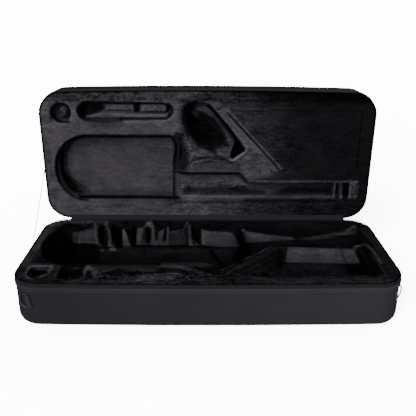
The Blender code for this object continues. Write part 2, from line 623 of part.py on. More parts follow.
# ---------------------------------------------------------------- zipper sliders and pulls
for side, sx in (("left", -1), ("right", 1)):
    at = Vector((sx * 0.2860, WIDTH / 2 + 0.0004, BASE_H - 0.0090))
    hold = pivot(f"zipper_pull_{side}_axis", at + Vector((sx * 0.0020, 0.0036, 0)))
    body = bevel(box(f"zipper_slider_{side}", (at.x - 0.0060, at.y, at.z - 0.0042), (at.x + 0.0060, at.y + 0.0022, at.z + 0.0042),
                     METAL), 0.0006, 1)
    bridge = [(at.x - 0.0044, at.y + 0.0015, at.z), (at.x - 0.0044, at.y + 0.0044, at.z),
              (at.x - 0.0034, at.y + 0.0056, at.z), (at.x + 0.0034, at.y + 0.0056, at.z),
              (at.x + 0.0044, at.y + 0.0044, at.z), (at.x + 0.0044, at.y + 0.0015, at.z)]
    arch = wire(f"zipper_bridge_{side}", bridge, 0.0007, METAL)
    PARTS.objects.unlink(arch)
    CUTTERS.objects.link(arch)
    arch.hide_render = True
    arch.display_type = "WIRE"
    boolean(body, arch, "UNION")
    # the pull lies flat along the zipper, its eye round one leg of the slider's bridge
    x0, x1 = sorted((-sx * 0.0008, sx * 0.0290))
    tab = bevel(box(f"zipper_pull_{side}", (x0, -0.0006, -0.0036), (x1, 0.0006, 0.0036), METAL, hold), 0.0005, 1)
    x0, x1 = sorted((sx * 0.0009, sx * 0.0048))
    boolean(tab, box(f"zipper_pull_eye_{side}", (x0, -0.01, -0.0018), (x1, 0.01, 0.0018), None, hold, cutter=True))
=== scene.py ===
import math

import bmesh
import bpy
import numpy as np
from mathutils import Matrix, Vector
from mathutils.geometry import tessellate_polygon


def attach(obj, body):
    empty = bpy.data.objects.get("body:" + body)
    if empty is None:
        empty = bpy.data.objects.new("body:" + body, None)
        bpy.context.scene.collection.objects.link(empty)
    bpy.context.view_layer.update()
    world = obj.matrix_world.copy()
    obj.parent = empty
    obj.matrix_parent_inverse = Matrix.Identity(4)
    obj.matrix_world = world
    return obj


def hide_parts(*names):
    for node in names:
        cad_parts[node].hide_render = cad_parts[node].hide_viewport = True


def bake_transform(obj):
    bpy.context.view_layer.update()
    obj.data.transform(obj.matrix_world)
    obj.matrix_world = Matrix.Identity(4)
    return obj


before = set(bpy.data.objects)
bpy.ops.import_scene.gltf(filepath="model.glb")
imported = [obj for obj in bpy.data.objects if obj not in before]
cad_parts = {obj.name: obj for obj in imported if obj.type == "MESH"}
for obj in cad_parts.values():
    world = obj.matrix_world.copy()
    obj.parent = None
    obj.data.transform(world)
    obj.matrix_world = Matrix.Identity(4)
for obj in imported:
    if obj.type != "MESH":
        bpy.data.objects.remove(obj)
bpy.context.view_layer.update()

# ---------------------------------------------------------------- the case's dimensions
LENGTH, WIDTH, BOW = 0.833, 0.329, 0.006
BASE_H, LID_D, CORNER_R = 0.104, 0.090, 0.058
LID_ANGLE = math.radians(87.8)
SIDE_IN, EDGE_IN, EDGE_R, SKIN, GAP = 0.0010, 0.0090, 0.017, 0.0015, 0.0003
ZIP_END = 0.270
HINGE = Vector((0.0, WIDTH / 2, BASE_H))
LID_V = Vector((0.0, math.cos(LID_ANGLE), math.sin(LID_ANGLE)))
LID_T = Vector((0.0, math.sin(LID_ANGLE), -math.cos(LID_ANGLE)))
CELL = 2.0       # mm, the plush surfaces' grid


# ---------------------------------------------------------------- camera
def camera():
    data = bpy.data.cameras.new("camera")
    data.sensor_width = 36.0
    data.lens = 521.66 / 416.0 * 36.0
    data.clip_end = 200.0
    yaw, pitch, roll = 0.010992, 0.400280, 0.0062536
    ahead = Vector((math.sin(yaw) * math.cos(pitch), math.cos(yaw) * math.cos(pitch), -math.sin(pitch)))
    right = Vector((math.cos(yaw), -math.sin(yaw), 0))
    up = right.cross(ahead)
    r = right * math.cos(roll) + up * math.sin(roll)
    u = up * math.cos(roll) - right * math.sin(roll)
    made = bpy.data.objects.new("camera", data)
    bpy.context.scene.collection.objects.link(made)
    turn = Matrix((r, u, -ahead)).transposed().to_4x4()
    made.matrix_world = Matrix.Translation((-0.01304, -1.09295, 0.66617)) @ turn
    bpy.context.scene.camera = made


camera()


# ---------------------------------------------------------------- material helpers
def new_material(name, colour, roughness, metallic=0.0, sheen=0.0, sheen_rough=0.5, sheen_tint=(1, 1, 1), specular=0.5):
    made = bpy.data.materials.new(name)
    made.use_nodes = True
    tree = made.node_tree
    shader = tree.nodes["Principled BSDF"]
    shader.inputs["Base Color"].default_value = (*colour, 1.0)
    shader.inputs["Roughness"].default_value = roughness
    shader.inputs["Metallic"].default_value = metallic
    shader.inputs["Sheen Weight"].default_value = sheen
    shader.inputs["Sheen Roughness"].default_value = sheen_rough
    shader.inputs["Sheen Tint"].default_value = (*sheen_tint, 1.0)
    shader.inputs["Specular IOR Level"].default_value = specular
    made.diffuse_color = (*colour, 1.0)
    return made, tree, shader


def node(tree, kind, **values):
    made = tree.nodes.new(kind)
    for key, value in values.items():
        if hasattr(made, key):
            setattr(made, key, value)
        else:
            made.inputs[key].default_value = value
    return made


def noise(tree, vector, scale, detail=3.0, rough=0.6, distortion=0.0):
    made = node(tree, "ShaderNodeTexNoise")
    made.inputs["Scale"].default_value = scale
    made.inputs["Detail"].default_value = detail
    made.inputs["Roughness"].default_value = rough
    made.inputs["Distortion"].default_value = distortion
    tree.links.new(vector, made.inputs["Vector"])
    return made.outputs["Fac"]


def maths(tree, operation, a, b=None, clamp=False):
    made = node(tree, "ShaderNodeMath", operation=operation, use_clamp=clamp)
    for i, v in enumerate((a, b)):
        if v is None:
            continue
        if isinstance(v, (int, float)):
            made.inputs[i].default_value = v
        else:
            tree.links.new(v, made.inputs[i])
    return made.outputs[0]


def ramp(tree, value, stops):
    made = node(tree, "ShaderNodeValToRGB")
    band = made.color_ramp
    while len(band.elements) > len(stops):
        band.elements.remove(band.elements[-1])
    while len(band.elements) < len(stops):
        band.elements.new(0.5)
    for element, (at, colour) in zip(band.elements, stops):
        element.position = at
        element.color = (*colour, 1.0) if len(colour) == 3 else colour
    tree.links.new(value, made.inputs["Fac"])
    return made.outputs["Color"]


def mapped(tree, scale=(1, 1, 1), rotation=(0, 0, 0), uv=None):
    if uv:
        source = node(tree, "ShaderNodeUVMap", uv_map=uv).outputs["UV"]
    else:
        source = node(tree, "ShaderNodeTexCoord").outputs["Object"]
    turn = node(tree, "ShaderNodeMapping")
    turn.inputs["Scale"].default_value = scale
    turn.inputs["Rotation"].default_value = rotation
    tree.links.new(source, turn.inputs["Vector"])
    return turn.outputs["Vector"]


def bump(tree, shader, height, strength, distance):
    made = node(tree, "ShaderNodeBump")
    made.inputs["Strength"].default_value = strength
    made.inputs["Distance"].default_value = distance
    tree.links.new(height, made.inputs["Height"])
    tree.links.new(made.outputs["Normal"], shader.inputs["Normal"])


def grey(v, blue=1.12):
    return (v * 1.01, v * 0.925, v * blue)


def plush_material(name, tone, spread, streak, sheen=0.004):
    """Crushed plush: the pile lies this way and that, so it is lighter and darker in
    patches and streaks, with a fine fibre under them. The nap_and_painted_light attribute
    holds painted light and shade: lighter along raised edges, darker in creases and recesses,
    with lit faces, shaded floors and shadow lines painted in, partly the pile's lie.
    The crush attribute says how unevenly it lies."""
    made, tree, shader = new_material(name, grey(tone, 1.10), 1.0, sheen=sheen, sheen_rough=0.6, sheen_tint=(0.80, 0.76, 0.89), specular=0.0)
    patch = noise(tree, mapped(tree, (0.7, 1, 1)), 24.0, 4.0, 0.6, 0.6)
    brushed = noise(tree, mapped(tree, streak), 120.0, 4.0, 0.66, 0.3)
    tuft = noise(tree, mapped(tree, tuple((v + 1) / 2 for v in streak)), 230.0, 3.0, 0.68)
    fibre = noise(tree, mapped(tree, (1, 1, 1)), 900.0, 2.0, 0.7)
    mix = maths(tree, "ADD", maths(tree, "MULTIPLY", patch, 0.24), maths(tree, "MULTIPLY", brushed, 0.32))
    mix = maths(tree, "ADD", mix, maths(tree, "MULTIPLY", tuft, 0.34))
    mix = maths(tree, "ADD", mix, maths(tree, "MULTIPLY", fibre, 0.10))
    mix = maths(tree, "MULTIPLY", maths(tree, "SUBTRACT", mix, 0.5), 11.0)
    crush = node(tree, "ShaderNodeAttribute", attribute_name="crush")
    swing = maths(tree, "MULTIPLY", mix, crush.outputs["Fac"])
    gain = maths(tree, "MAXIMUM", maths(tree, "ADD", swing, 1.0), 0.15)
    gain = maths(tree, "MINIMUM", gain, 2.6)
    # painted light and shade of the pile, partly its lie, read from the mesh
    nap_and_painted_light = node(tree, "ShaderNodeAttribute", attribute_name="nap_and_painted_light")
    gain = maths(tree, "MULTIPLY", gain, nap_and_painted_light.outputs["Fac"])
    # the sheen is scaled with the painted light and shade, so pile painted dark as shade, or lying brushed flat, has
    # little sheen
    rub_and_painted_sheen = maths(tree, "MINIMUM", maths(tree, "ADD", maths(tree, "MULTIPLY", nap_and_painted_light.outputs["Fac"], 1.25), 0.08), 1.0)
    tree.links.new(maths(tree, "MULTIPLY", rub_and_painted_sheen, sheen), shader.inputs["Sheen Weight"])
    tint = ramp(tree, maths(tree, "ADD", patch, 0.0), [(0.3, grey(tone * (1 - spread), 1.14)), (0.7, grey(tone * (1 + spread), 1.06))])
    scaled = node(tree, "ShaderNodeVectorMath", operation="SCALE")
    tree.links.new(tint, scaled.inputs[0])
    tree.links.new(gain, scaled.inputs["Scale"])
    tree.links.new(scaled.outputs["Vector"], shader.inputs["Base Color"])
    height = maths(tree, "ADD", maths(tree, "MULTIPLY", tuft, 0.6), maths(tree, "MULTIPLY", fibre, 0.4))
    bump(tree, shader, height, 0.6, 0.0014)
    return made


def woven_material(name, dark, light, pitch, uv="run", roughness=0.7, rib=False, sheen=0.0, depth=0.0003, blue=1.1, gloss=0.0, painted_light_drift=0.0):
    """Plain weave, or ribbed tape, drawn along the piece's own run and height."""
    made, tree, shader = new_material(name, grey(dark, blue), roughness, sheen=sheen, sheen_rough=0.45, sheen_tint=(0.9, 0.9, 1.0), specular=gloss)
    run = mapped(tree, (1.0 / pitch, 1.0 / pitch, 1.0), uv=uv)
    parts = node(tree, "ShaderNodeSeparateXYZ")
    tree.links.new(run, parts.inputs[0])
    along = maths(tree, "SINE", maths(tree, "MULTIPLY", parts.outputs["X"], 2 * math.pi))
    up = maths(tree, "SINE", maths(tree, "MULTIPLY", parts.outputs["Y"], 2 * math.pi))
    if rib:
        cloth = maths(tree, "ADD", maths(tree, "MULTIPLY", along, 0.38), maths(tree, "MULTIPLY", up, 0.10))
    else:
        cloth = maths(tree, "MULTIPLY", along, up)
        cloth = maths(tree, "MULTIPLY", cloth, 0.5)
    cloth = maths(tree, "ADD", cloth, 0.5)
    patch = noise(tree, mapped(tree), 9.0, 4.0, 0.55)
    thread = noise(tree, mapped(tree, (1, 1, 6)), 260.0, 3.0, 0.7)
    shade = maths(tree, "ADD", maths(tree, "MULTIPLY", cloth, 0.42), maths(tree, "MULTIPLY", patch, 0.33))
    shade = maths(tree, "ADD", shade, maths(tree, "MULTIPLY", thread, 0.30), True)
    colour = ramp(tree, shade, [(0.12, grey(dark, blue)), (0.88, grey(light, blue))])
    if painted_light_drift:
        # painted light: the cover is painted a little lighter toward the +x end
        place = node(tree, "ShaderNodeSeparateXYZ")
        tree.links.new(mapped(tree), place.inputs[0])
        gain = maths(tree, "ADD", maths(tree, "MULTIPLY", place.outputs["X"], painted_light_drift / 0.415), 1.0)
        scaled = node(tree, "ShaderNodeVectorMath", operation="SCALE")
        tree.links.new(colour, scaled.inputs[0])
        tree.links.new(gain, scaled.inputs["Scale"])
        colour = scaled.outputs["Vector"]
    tree.links.new(colour, shader.inputs["Base Color"])
    rough = node(tree, "ShaderNodeMapRange")
    rough.inputs["To Min"].default_value = roughness - 0.08
    rough.inputs["To Max"].default_value = roughness + 0.12
    tree.links.new(patch, rough.inputs["Value"])
    tree.links.new(rough.outputs["Result"], shader.inputs["Roughness"])
    height = maths(tree, "ADD", cloth, maths(tree, "MULTIPLY", thread, 0.5))
    bump(tree, shader, height, 0.6, depth)
    return made


def solid_material(name, dark, light, roughness, metallic=0.0, grain=900.0, depth=0.0001, streak=(1, 1, 1), wear=0.0, specular=0.5, edge_tint=None):
    """Moulded plastic, plated metal or cord: grain, uneven gloss, and lighter rubbed edges."""
    made, tree, shader = new_material(name, grey(dark, 1.05), roughness, metallic, specular=specular)
    if edge_tint is not None:
        shader.inputs["Specular Tint"].default_value = (edge_tint, edge_tint, edge_tint, 1.0)
    patch = noise(tree, mapped(tree), 60.0, 4.0, 0.6)
    fine = noise(tree, mapped(tree, streak), grain, 3.0, 0.7)
    shade = maths(tree, "ADD", maths(tree, "MULTIPLY", patch, 0.6), maths(tree, "MULTIPLY", fine, 0.4), True)
    if wear:
        edge = node(tree, "ShaderNodeNewGeometry").outputs["Pointiness"]
        rub_and_painted_sheen = maths(tree, "MULTIPLY", maths(tree, "SUBTRACT", edge, 0.52), 9.0 * wear, True)
        shade = maths(tree, "ADD", shade, rub_and_painted_sheen, True)
    tree.links.new(ramp(tree, shade, [(0.2, grey(dark, 1.05)), (0.8, grey(light, 1.05))]), shader.inputs["Base Color"])
    rough = node(tree, "ShaderNodeMapRange")
    rough.inputs["To Min"].default_value = max(0.05, roughness - 0.1)
    rough.inputs["To Max"].default_value = min(1.0, roughness + 0.15)
    tree.links.new(patch, rough.inputs["Value"])
    tree.links.new(rough.outputs["Result"], shader.inputs["Roughness"])
    bump(tree, shader, fine, 0.35, depth)
    return made


NYLON = woven_material("cover_nylon", 0.00100, 0.00215, 0.0016, roughness=0.85, depth=0.00035, painted_light_drift=0.20)
BINDING = woven_material("binding_tape", 0.00105, 0.00260, 0.0011, roughness=0.85, rib=True, painted_light_drift=0.14)
TAPE = woven_material("zipper_tape", 0.00060, 0.00150, 0.0009, roughness=0.8, rib=True, depth=0.0002)
HINGE_CLOTH = woven_material("hinge_cloth", 0.00062, 0.00175, 0.0012, roughness=0.8, rib=True, blue=1.30)
WEBBING = woven_material("webbing", 0.00120, 0.00300, 0.0016, roughness=0.8, rib=True, depth=0.0005)
STITCH = woven_material("stitch_thread", 0.0018, 0.0044, 0.0006, uv="run", roughness=0.7, depth=0.0001)
COIL = solid_material("zipper_coil", 0.0008, 0.0020, 0.5, grain=1400.0, depth=0.00004, specular=0.0)
METAL = solid_material("dark_metal", 0.0026, 0.0072, 0.50, metallic=1.0, grain=700.0, depth=0.00005, streak=(1, 1, 5), wear=0.6, edge_tint=0.03)
MOULDED = solid_material("moulded_black", 0.0006, 0.0015, 0.6, grain=1100.0, depth=0.00012, wear=0.5, specular=0.004)
CORD = solid_material("cord", 0.0015, 0.0035, 0.75, grain=1300.0, depth=0.0002, streak=(1, 1, 1), specular=0.0)
PLUSH_BASE = plush_material("plush_base", 0.0021, 0.10, (0.45, 1.0, 1.2), sheen=0.0015)
PLUSH_LID = plush_material("plush_lid", 0.0029, 0.10, (0.30, 1.0, 1.25), sheen=0.0015)


# ---------------------------------------------------------------- mesh helpers
def fast_mesh(name, points, quads, look, uv=None, smooth=True, sharp=None):
    """A mesh from arrays: quads is (n, 4), uv one pair for each corner."""
    mesh = bpy.data.meshes.new(name)
    n = len(quads)
    k = quads.shape[1]
    mesh.vertices.add(len(points))
    mesh.vertices.foreach_set("co", np.asarray(points, np.float32).ravel())
    mesh.loops.add(n * k)
    mesh.loops.foreach_set("vertex_index", np.asarray(quads, np.int32).ravel())
    mesh.polygons.add(n)
    mesh.polygons.foreach_set("loop_start", np.arange(0, n * k, k, dtype=np.int32))
    if uv is not None:
        layer = mesh.uv_layers.new(name="run")
        layer.data.foreach_set("uv", np.asarray(uv, np.float32).ravel())
    mesh.update(calc_edges=True)
    mesh.validate()
    if smooth:
        mesh.shade_smooth()
        if sharp:
            mesh.set_sharp_from_angle(angle=math.radians(sharp))
    mesh.materials.append(look)
    made = bpy.data.objects.new(name, mesh)
    bpy.context.scene.collection.objects.link(made)
    return made


def mixed_mesh(name, points, parts, look):
    """A mesh of quads and triangles from arrays."""
    mesh = bpy.data.meshes.new(name)
    index = np.concatenate([np.asarray(f, np.int32).ravel() for f in parts])
    sizes = np.concatenate([np.full(len(f), f.shape[1], np.int32) for f in parts])
    mesh.vertices.add(len(points))
    mesh.vertices.foreach_set("co", np.asarray(points, np.float32).ravel())
    mesh.loops.add(len(index))
    mesh.loops.foreach_set("vertex_index", index)
    mesh.polygons.add(len(sizes))
    mesh.polygons.foreach_set("loop_start", np.concatenate([[0], np.cumsum(sizes)[:-1]]).astype(np.int32))
    mesh.update(calc_edges=True)
    mesh.validate()
    mesh.shade_smooth()
    mesh.materials.append(look)
    made = bpy.data.objects.new(name, mesh)
    bpy.context.scene.collection.objects.link(made)
    return made


def signed_volume(points, quads):
    a, b, c = points[quads[:, 0]], points[quads[:, 1]], points[quads[:, 2]]
    v = np.einsum("ij,ij->i", a, np.cross(b, c)).sum()
    if quads.shape[1] == 4:
        d = points[quads[:, 3]]
        v += np.einsum("ij,ij->i", a, np.cross(c, d)).sum()
    return v


def outward(points, quads, uv=None):
    if signed_volume(points, quads) < 0:
        quads = quads[:, ::-1].copy()
        if uv is not None:
            uv = uv.reshape(len(quads), quads.shape[1], 2)[:, ::-1].copy()
    return quads, uv


def settle(obj, body, *nodes, slot=None):
    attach(obj, body)
    if nodes:
        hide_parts(*nodes)
    return obj


def lid_point(x, v, t):
    return HINGE + Vector((x, 0, 0)) + LID_V * v + LID_T * t


# ---------------------------------------------------------------- the rim line and what is swept along it
def rim(inset, corner=18, step=0.011):
    """The outline moved in by inset: from the hinge side's left end round the opening
    side to its right end, then along the hinge side."""
    r = CORNER_R - inset
    hx, hy = LENGTH / 2 - CORNER_R, WIDTH / 2 - CORNER_R

    def run(a, b):
        n = max(1, round(math.dist(a, b) / step))
        return [(a[0] + (b[0] - a[0]) * k / n, a[1] + (b[1] - a[1]) * k / n) for k in range(1, n)]

    out = [(-ZIP_END, hy + r)] + run((-ZIP_END, hy), (-hx, hy))
    out = [(x, hy + r) for x, _ in out]
    ends = []
    for cx, cy, start in ((-hx, hy, 90), (-hx, -hy, 180), (hx, -hy, 270), (hx, hy, 0)):
        arc = [(cx + r * math.cos(math.radians(start + 90 * k / corner)),
                cy + r * math.sin(math.radians(start + 90 * k / corner))) for k in range(corner + 1)]
        out += arc
        if start == 90:
            n = round((2 * hy) / step)
            out += [(-hx - r, hy - 2 * hy * k / n) for k in range(1, n)]
        elif start == 180:
            n = round((2 * hx) / step)
            out += [(-hx + 2 * hx * k / n, -hy - r) for k in range(1, n)]
        elif start == 270:
            n = round((2 * hy) / step)
            out += [(hx + r, -hy + 2 * hy * k / n) for k in range(1, n)]
    out += [(x, hy + r) for x, _ in run((hx, hy), (ZIP_END, hy))] + [(ZIP_END, hy + r)]
    ends = len(out)
    n = round(2 * ZIP_END / step)
    out += [(ZIP_END - 2 * ZIP_END * k / n, hy + r) for k in range(1, n)]
    half = LENGTH / 2
    out = [(x, y - BOW * max(0.0, 1 - (x / half) ** 2) * (1 if y < -hy / 2 else 0)) for x, y in out]
    return np.array(out), ends


def to_world(x, y, z, lid):
    """Base coordinates as they are; a lid piece's z is minus its depth."""
    x, y, z = np.asarray(x, float), np.asarray(y, float), np.asarray(z, float)
    if not lid:
        return np.stack([x, y, z], -1)
    v, t = WIDTH / 2 - y, -z
    return np.stack([x, HINGE.y + LID_V.y * v + LID_T.y * t, HINGE.z + LID_V.z * v + LID_T.z * t], -1)


def sweep(name, section, look, lid=False, ends=False, wave=None, sharp=35):
    """A closed section in (inset, z) carried round the rim. wave(run, j) moves a point
    of the section outwards."""
    m = len(section)
    rows = []
    for j, (inset, z) in enumerate(section):
        line, stop = rim(inset)
        if ends:
            line = line[:stop]
        rows.append((line, z))
    base_line = rim(0.0)[0]
    if ends:
        base_line = base_line[:stop]
    n = len(base_line)
    seg = np.linalg.norm(np.diff(np.vstack([base_line, base_line[:1]]), axis=0), axis=1)
    run = np.concatenate([[0], np.cumsum(seg)])
    tangent = np.roll(base_line, -1, 0) - np.roll(base_line, 1, 0)
    if ends:
        tangent[0], tangent[-1] = base_line[1] - base_line[0], base_line[-1] - base_line[-2]
    tangent /= np.linalg.norm(tangent, axis=1, keepdims=True)
    normal = np.stack([tangent[:, 1], -tangent[:, 0]], 1)
    grid = np.zeros((n, m, 3))
    for j, (line, z) in enumerate(rows):
        off = wave(run[:n], j) if wave else np.zeros(n)
        x = line[:, 0] + normal[:, 0] * off
        y = line[:, 1] + normal[:, 1] * off
        grid[:, j] = to_world(x, y, np.full(n, z), lid)
    height = np.concatenate([[0], np.cumsum([math.dist(section[j], section[(j + 1) % m]) for j in range(m)])])
    quads, uv = [], []
    for i in range(n - 1 if ends else n):
        k = (i + 1) % n
        for j in range(m):
            l = (j + 1) % m
            quads.append((i * m + j, i * m + l, k * m + l, k * m + j))
            uv.append(((run[i], height[j]), (run[i], height[j + 1]), (run[i + 1], height[j + 1]), (run[i + 1], height[j])))
    quads, uv = np.array(quads), np.array(uv)
    points = grid.reshape(-1, 3)
    quads, uv = outward(points, quads, uv)
    made = fast_mesh(name, points, quads, look, uv, sharp=sharp)
    if ends:
        bm = bmesh.new()
        bm.from_mesh(made.data)
        bmesh.ops.holes_fill(bm, edges=[e for e in bm.edges if e.is_boundary], sides=0)
        bm.to_mesh(made.data)
        bm.free()
    return made


def side_profile(depth, offset=0.0, top=None, fine=12):
    pts = []
    for k in range(fine + 1):
        a = math.radians(90 - 90 * k / fine)
        pts.append((SIDE_IN + (EDGE_IN - SIDE_IN) * (1 - math.cos(a)), EDGE_R * (1 - math.sin(a))))
    end = depth if top is None else top
    for k in range(1, 9):
        pts.append((SIDE_IN, EDGE_R + (end - EDGE_R) * k / 8))
    out = []
    for i, (p, h) in enumerate(pts):
        a, b = pts[max(i - 1, 0)], pts[min(i + 1, len(pts) - 1)]
        d = Vector((b[0] - a[0], b[1] - a[1])).normalized()
        if i == 0:
            d = Vector((-1.0, 0.0))
        if i >= fine:
            d = Vector((0.0, 1.0))
        out.append((p + d.y * offset, h - d.x * offset))
    return out


def smooth_wave(seed, count, total, low, high):
    """A repeatable soft wave along the rim."""
    rng = np.random.RandomState(seed)
    parts = [(rng.randint(low, high), rng.uniform(0, 2 * math.pi), rng.uniform(0.4, 1.0)) for _ in range(count)]
    return lambda run: sum(a * np.sin(2 * math.pi * f * run / total + p) for f, p, a in parts) / count


RIM_LEN = float(np.linalg.norm(np.diff(np.vstack([rim(0.0)[0], rim(0.0)[0][:1]]), axis=0), axis=1).sum())


def tray(prefix, depth, lid):
    """Cover, binding, stitches and zipper half of one half of the case."""
    body = "lid" if lid else "base"

    def up(h):
        return (h - depth) if lid else h

    # flat outer face: a slightly cushioned panel
    line = rim(EDGE_IN + GAP, 10, 0.03)[0]
    rings, scale = [], [1.0, 0.985, 0.94, 0.8, 0.6, 0.4, 0.2, 0.05]
    mid = line.mean(0)
    n = len(line)
    points, quads, uv = [], [], []
    for side in (0, 1):
        for k, s in enumerate(scale):
            p = mid + (line - mid) * s
            dish = -0.0 if not lid else 0.0012 * (1 - s * s)
            h = up(0.0 - dish) if side == 0 else up(SKIN)
            if side == 0 and k == 0:
                h = up(0.0006)
            points.append(to_world(p[:, 0], p[:, 1], np.full(n, h), lid))
    points = np.concatenate(points)
    rows = [k for k in range(len(scale))][::-1] + [len(scale) + k for k in range(len(scale))]
    flat2 = np.vstack([(mid + (line - mid) * scale[k % len(scale)]) for k in range(2 * len(scale))])
    for a, b in zip(rows, rows[1:]):
        for i in range(n):
            j = (i + 1) % n
            q = (a * n + i, a * n + j, b * n + j, b * n + i)
            quads.append(q)
            uv.append([flat2[v] for v in q])
    quads, uv = np.array(quads), np.array(uv)
    quads, uv = outward(points, quads, uv)
    panel = fast_mesh(prefix + ("_top_panel" if lid else "_bottom_panel"), points, quads, NYLON, uv)
    bm = bmesh.new()
    bm.from_mesh(panel.data)
    layer = bm.loops.layers.uv["run"]
    made = bmesh.ops.holes_fill(bm, edges=[e for e in bm.edges if e.is_boundary], sides=0)
    for f in made["faces"]:
        for l in f.loops:
            l[layer].uv = (l.vert.co.x, l.vert.co.y)
    bm.to_mesh(panel.data)
    bm.free()
    settle(panel, body, prefix + ("_top_cover" if lid else "_bottom_cover"), slot="cover_nylon")

    # side cover, pillowed a little between its edges
    outer = side_profile(depth, 0.0, depth - 0.0215)
    inner = side_profile(depth, SKIN, depth - 0.0215)
    section = [(i, up(h)) for i, h in outer] + [(i, up(h)) for i, h in reversed(inner)]
    soft = smooth_wave(3 if lid else 4, 7, RIM_LEN, 3, 40)
    k0 = len(outer)

    corner_line = rim(0.0)[0]
    steps = np.concatenate([[0], np.cumsum(np.linalg.norm(np.diff(corner_line, axis=0), axis=1))])
    presses = []
    if not lid:
        # the cloth is pulled flat where a strap ring's loop is sewn on
        for x, y, z, deep in ((-0.3935, -0.1500, 0.060, 0.0017), (0.4070, -0.1370, 0.069, 0.0012)):
            k = int(np.argmin(np.hypot(corner_line[:, 0] - x, corner_line[:, 1] - y)))
            presses.append((steps[k], z, deep))

    def pillow(run, j):
        pressed = np.zeros_like(run)
        for r, z, deep in presses:
            pressed -= deep * np.exp(-((run - r) / 0.028) ** 2) * math.exp(-((section[j][1] - z) / 0.021) ** 2)
        if j >= k0:
            return pressed
        t = j / (k0 - 1)
        swell = math.sin(math.pi * min(1.0, t)) ** 0.8
        return pressed + 0.0009 * swell + 0.0005 * swell * soft(run)

    side = sweep(prefix + "_side_panel", section, NYLON, lid, wave=pillow)
    settle(side, body, prefix + "_side_cover", slot="cover_nylon")

    def band(name, cad, i0, i1, h0, h1, look, crown, wobble, slot):
        sec = [(i1, up(h0)), (i0 + 0.0004, up(h0)), (i0, up(h0 + 0.0006)), (i0 - crown * 0.6, up(h0 + (h1 - h0) * 0.25)),
               (i0 - crown, up((h0 + h1) / 2)), (i0 - crown * 0.6, up(h0 + (h1 - h0) * 0.75)), (i0, up(h1 - 0.0006)),
               (i0 + 0.0004, up(h1)), (i1, up(h1))]
        soft = smooth_wave(11 + len(name), 6, RIM_LEN, 20, 160)
        made = sweep(name, sec, look, lid, ends=True, wave=lambda run, j: (wobble * soft(run) if 2 <= j <= 6 else 0 * run), sharp=50)
        return settle(made, body, cad, slot=slot)

    binding = band(prefix + "_binding_tape", prefix + "_binding", 0.0, 0.0024, depth - 0.0212, depth - 0.0092, BINDING, 0.0006, 0.00012, "binding_tape")
    band(prefix + "_zip_tape", prefix + "_zipper_tape", 0.0008, 0.0024, depth - 0.0089, depth - 0.0031, TAPE, 0.0001, 0.0001, "zipper_tape")

    # two rows of stitches in the binding, one in the zipper tape
    line, stop = rim(0.0, 24, 0.004)
    line = line[:stop]
    seg = np.linalg.norm(np.diff(line, axis=0), axis=1)
    run = np.concatenate([[0], np.cumsum(seg)])

    def along(s, inset):
        x = np.interp(s, run, line[:, 0])
        y = np.interp(s, run, line[:, 1])
        x2 = np.interp(s + 0.0005, run, line[:, 0]) - np.interp(s - 0.0005, run, line[:, 0])
        y2 = np.interp(s + 0.0005, run, line[:, 1]) - np.interp(s - 0.0005, run, line[:, 1])
        k = np.hypot(x2, y2)
        return x - y2 / k * inset * -1 * -1, y + x2 / k * inset, x2 / k, y2 / k

    def beads(name, rows, pitch, length, radius, inset_of, look, tilt=0.0, lean=0.0):
        """Short rounded stitches, or a coil's turns, along the rim."""
        pts, qs, uvs = [], [], []
        sides = 6
        for h, inset in rows:
            s = np.arange(pitch, run[-1] - pitch, pitch)
            x, y, tx, ty = along(s, inset)
            nx, ny = -ty, tx
            for c, r in zip((-0.5, -0.3, 0.3, 0.5), (0.35, 1.0, 1.0, 0.35)):
                for k in range(sides):
                    a = 2 * math.pi * k / sides
                    du = c * length
                    off = math.cos(a) * radius * r
                    rise = math.sin(a) * radius * r + du * tilt
                    pts.append(to_world(x + tx * du + nx * (off + abs(c) * lean), y + ty * du + ny * (off + abs(c) * lean), np.full(len(s), up(h) + rise), lid))
        # pts is a list of (rows * 4 * sides) arrays of (count, 3)
        count = len(s)
        block = np.stack(pts).reshape(len(rows), 4, sides, count, 3).transpose(0, 3, 1, 2, 4).reshape(-1, 3)
        units = len(rows) * count
        local = []
        for c in range(3):
            for k in range(sides):
                j = (k + 1) % sides
                local.append((c * sides + k, c * sides + j, (c + 1) * sides + j, (c + 1) * sides + k))
        # the two end caps, as fans of quads
        local += [(0, 5, 4, 3), (0, 3, 2, 1), (18, 19, 20, 21), (18, 21, 22, 23)]
        local = np.array(local)
        quads = (np.arange(units)[:, None, None] * (4 * sides) + local[None]).reshape(-1, 4)
        if signed_volume(block[:4 * sides], local) < 0:
            quads = quads[:, ::-1].copy()
        uv = np.stack([block[quads][..., 0] + block[quads][..., 1], block[quads][..., 2]], -1)
        return fast_mesh(name, block, quads, look, uv, sharp=None)

    rows = [(depth - 0.0193, -0.0001), (depth - 0.0112, -0.0001)]
    stitches = beads(prefix + "_binding_stitches", rows, 0.0034, 0.0026, 0.00042, None, STITCH)
    settle(stitches, body)
    tape_rows = [(depth - 0.0078, 0.0006)]
    zip_stitch = beads(prefix + "_zip_stitches", tape_rows, 0.0030, 0.0022, 0.00032, None, STITCH)
    settle(zip_stitch, body)

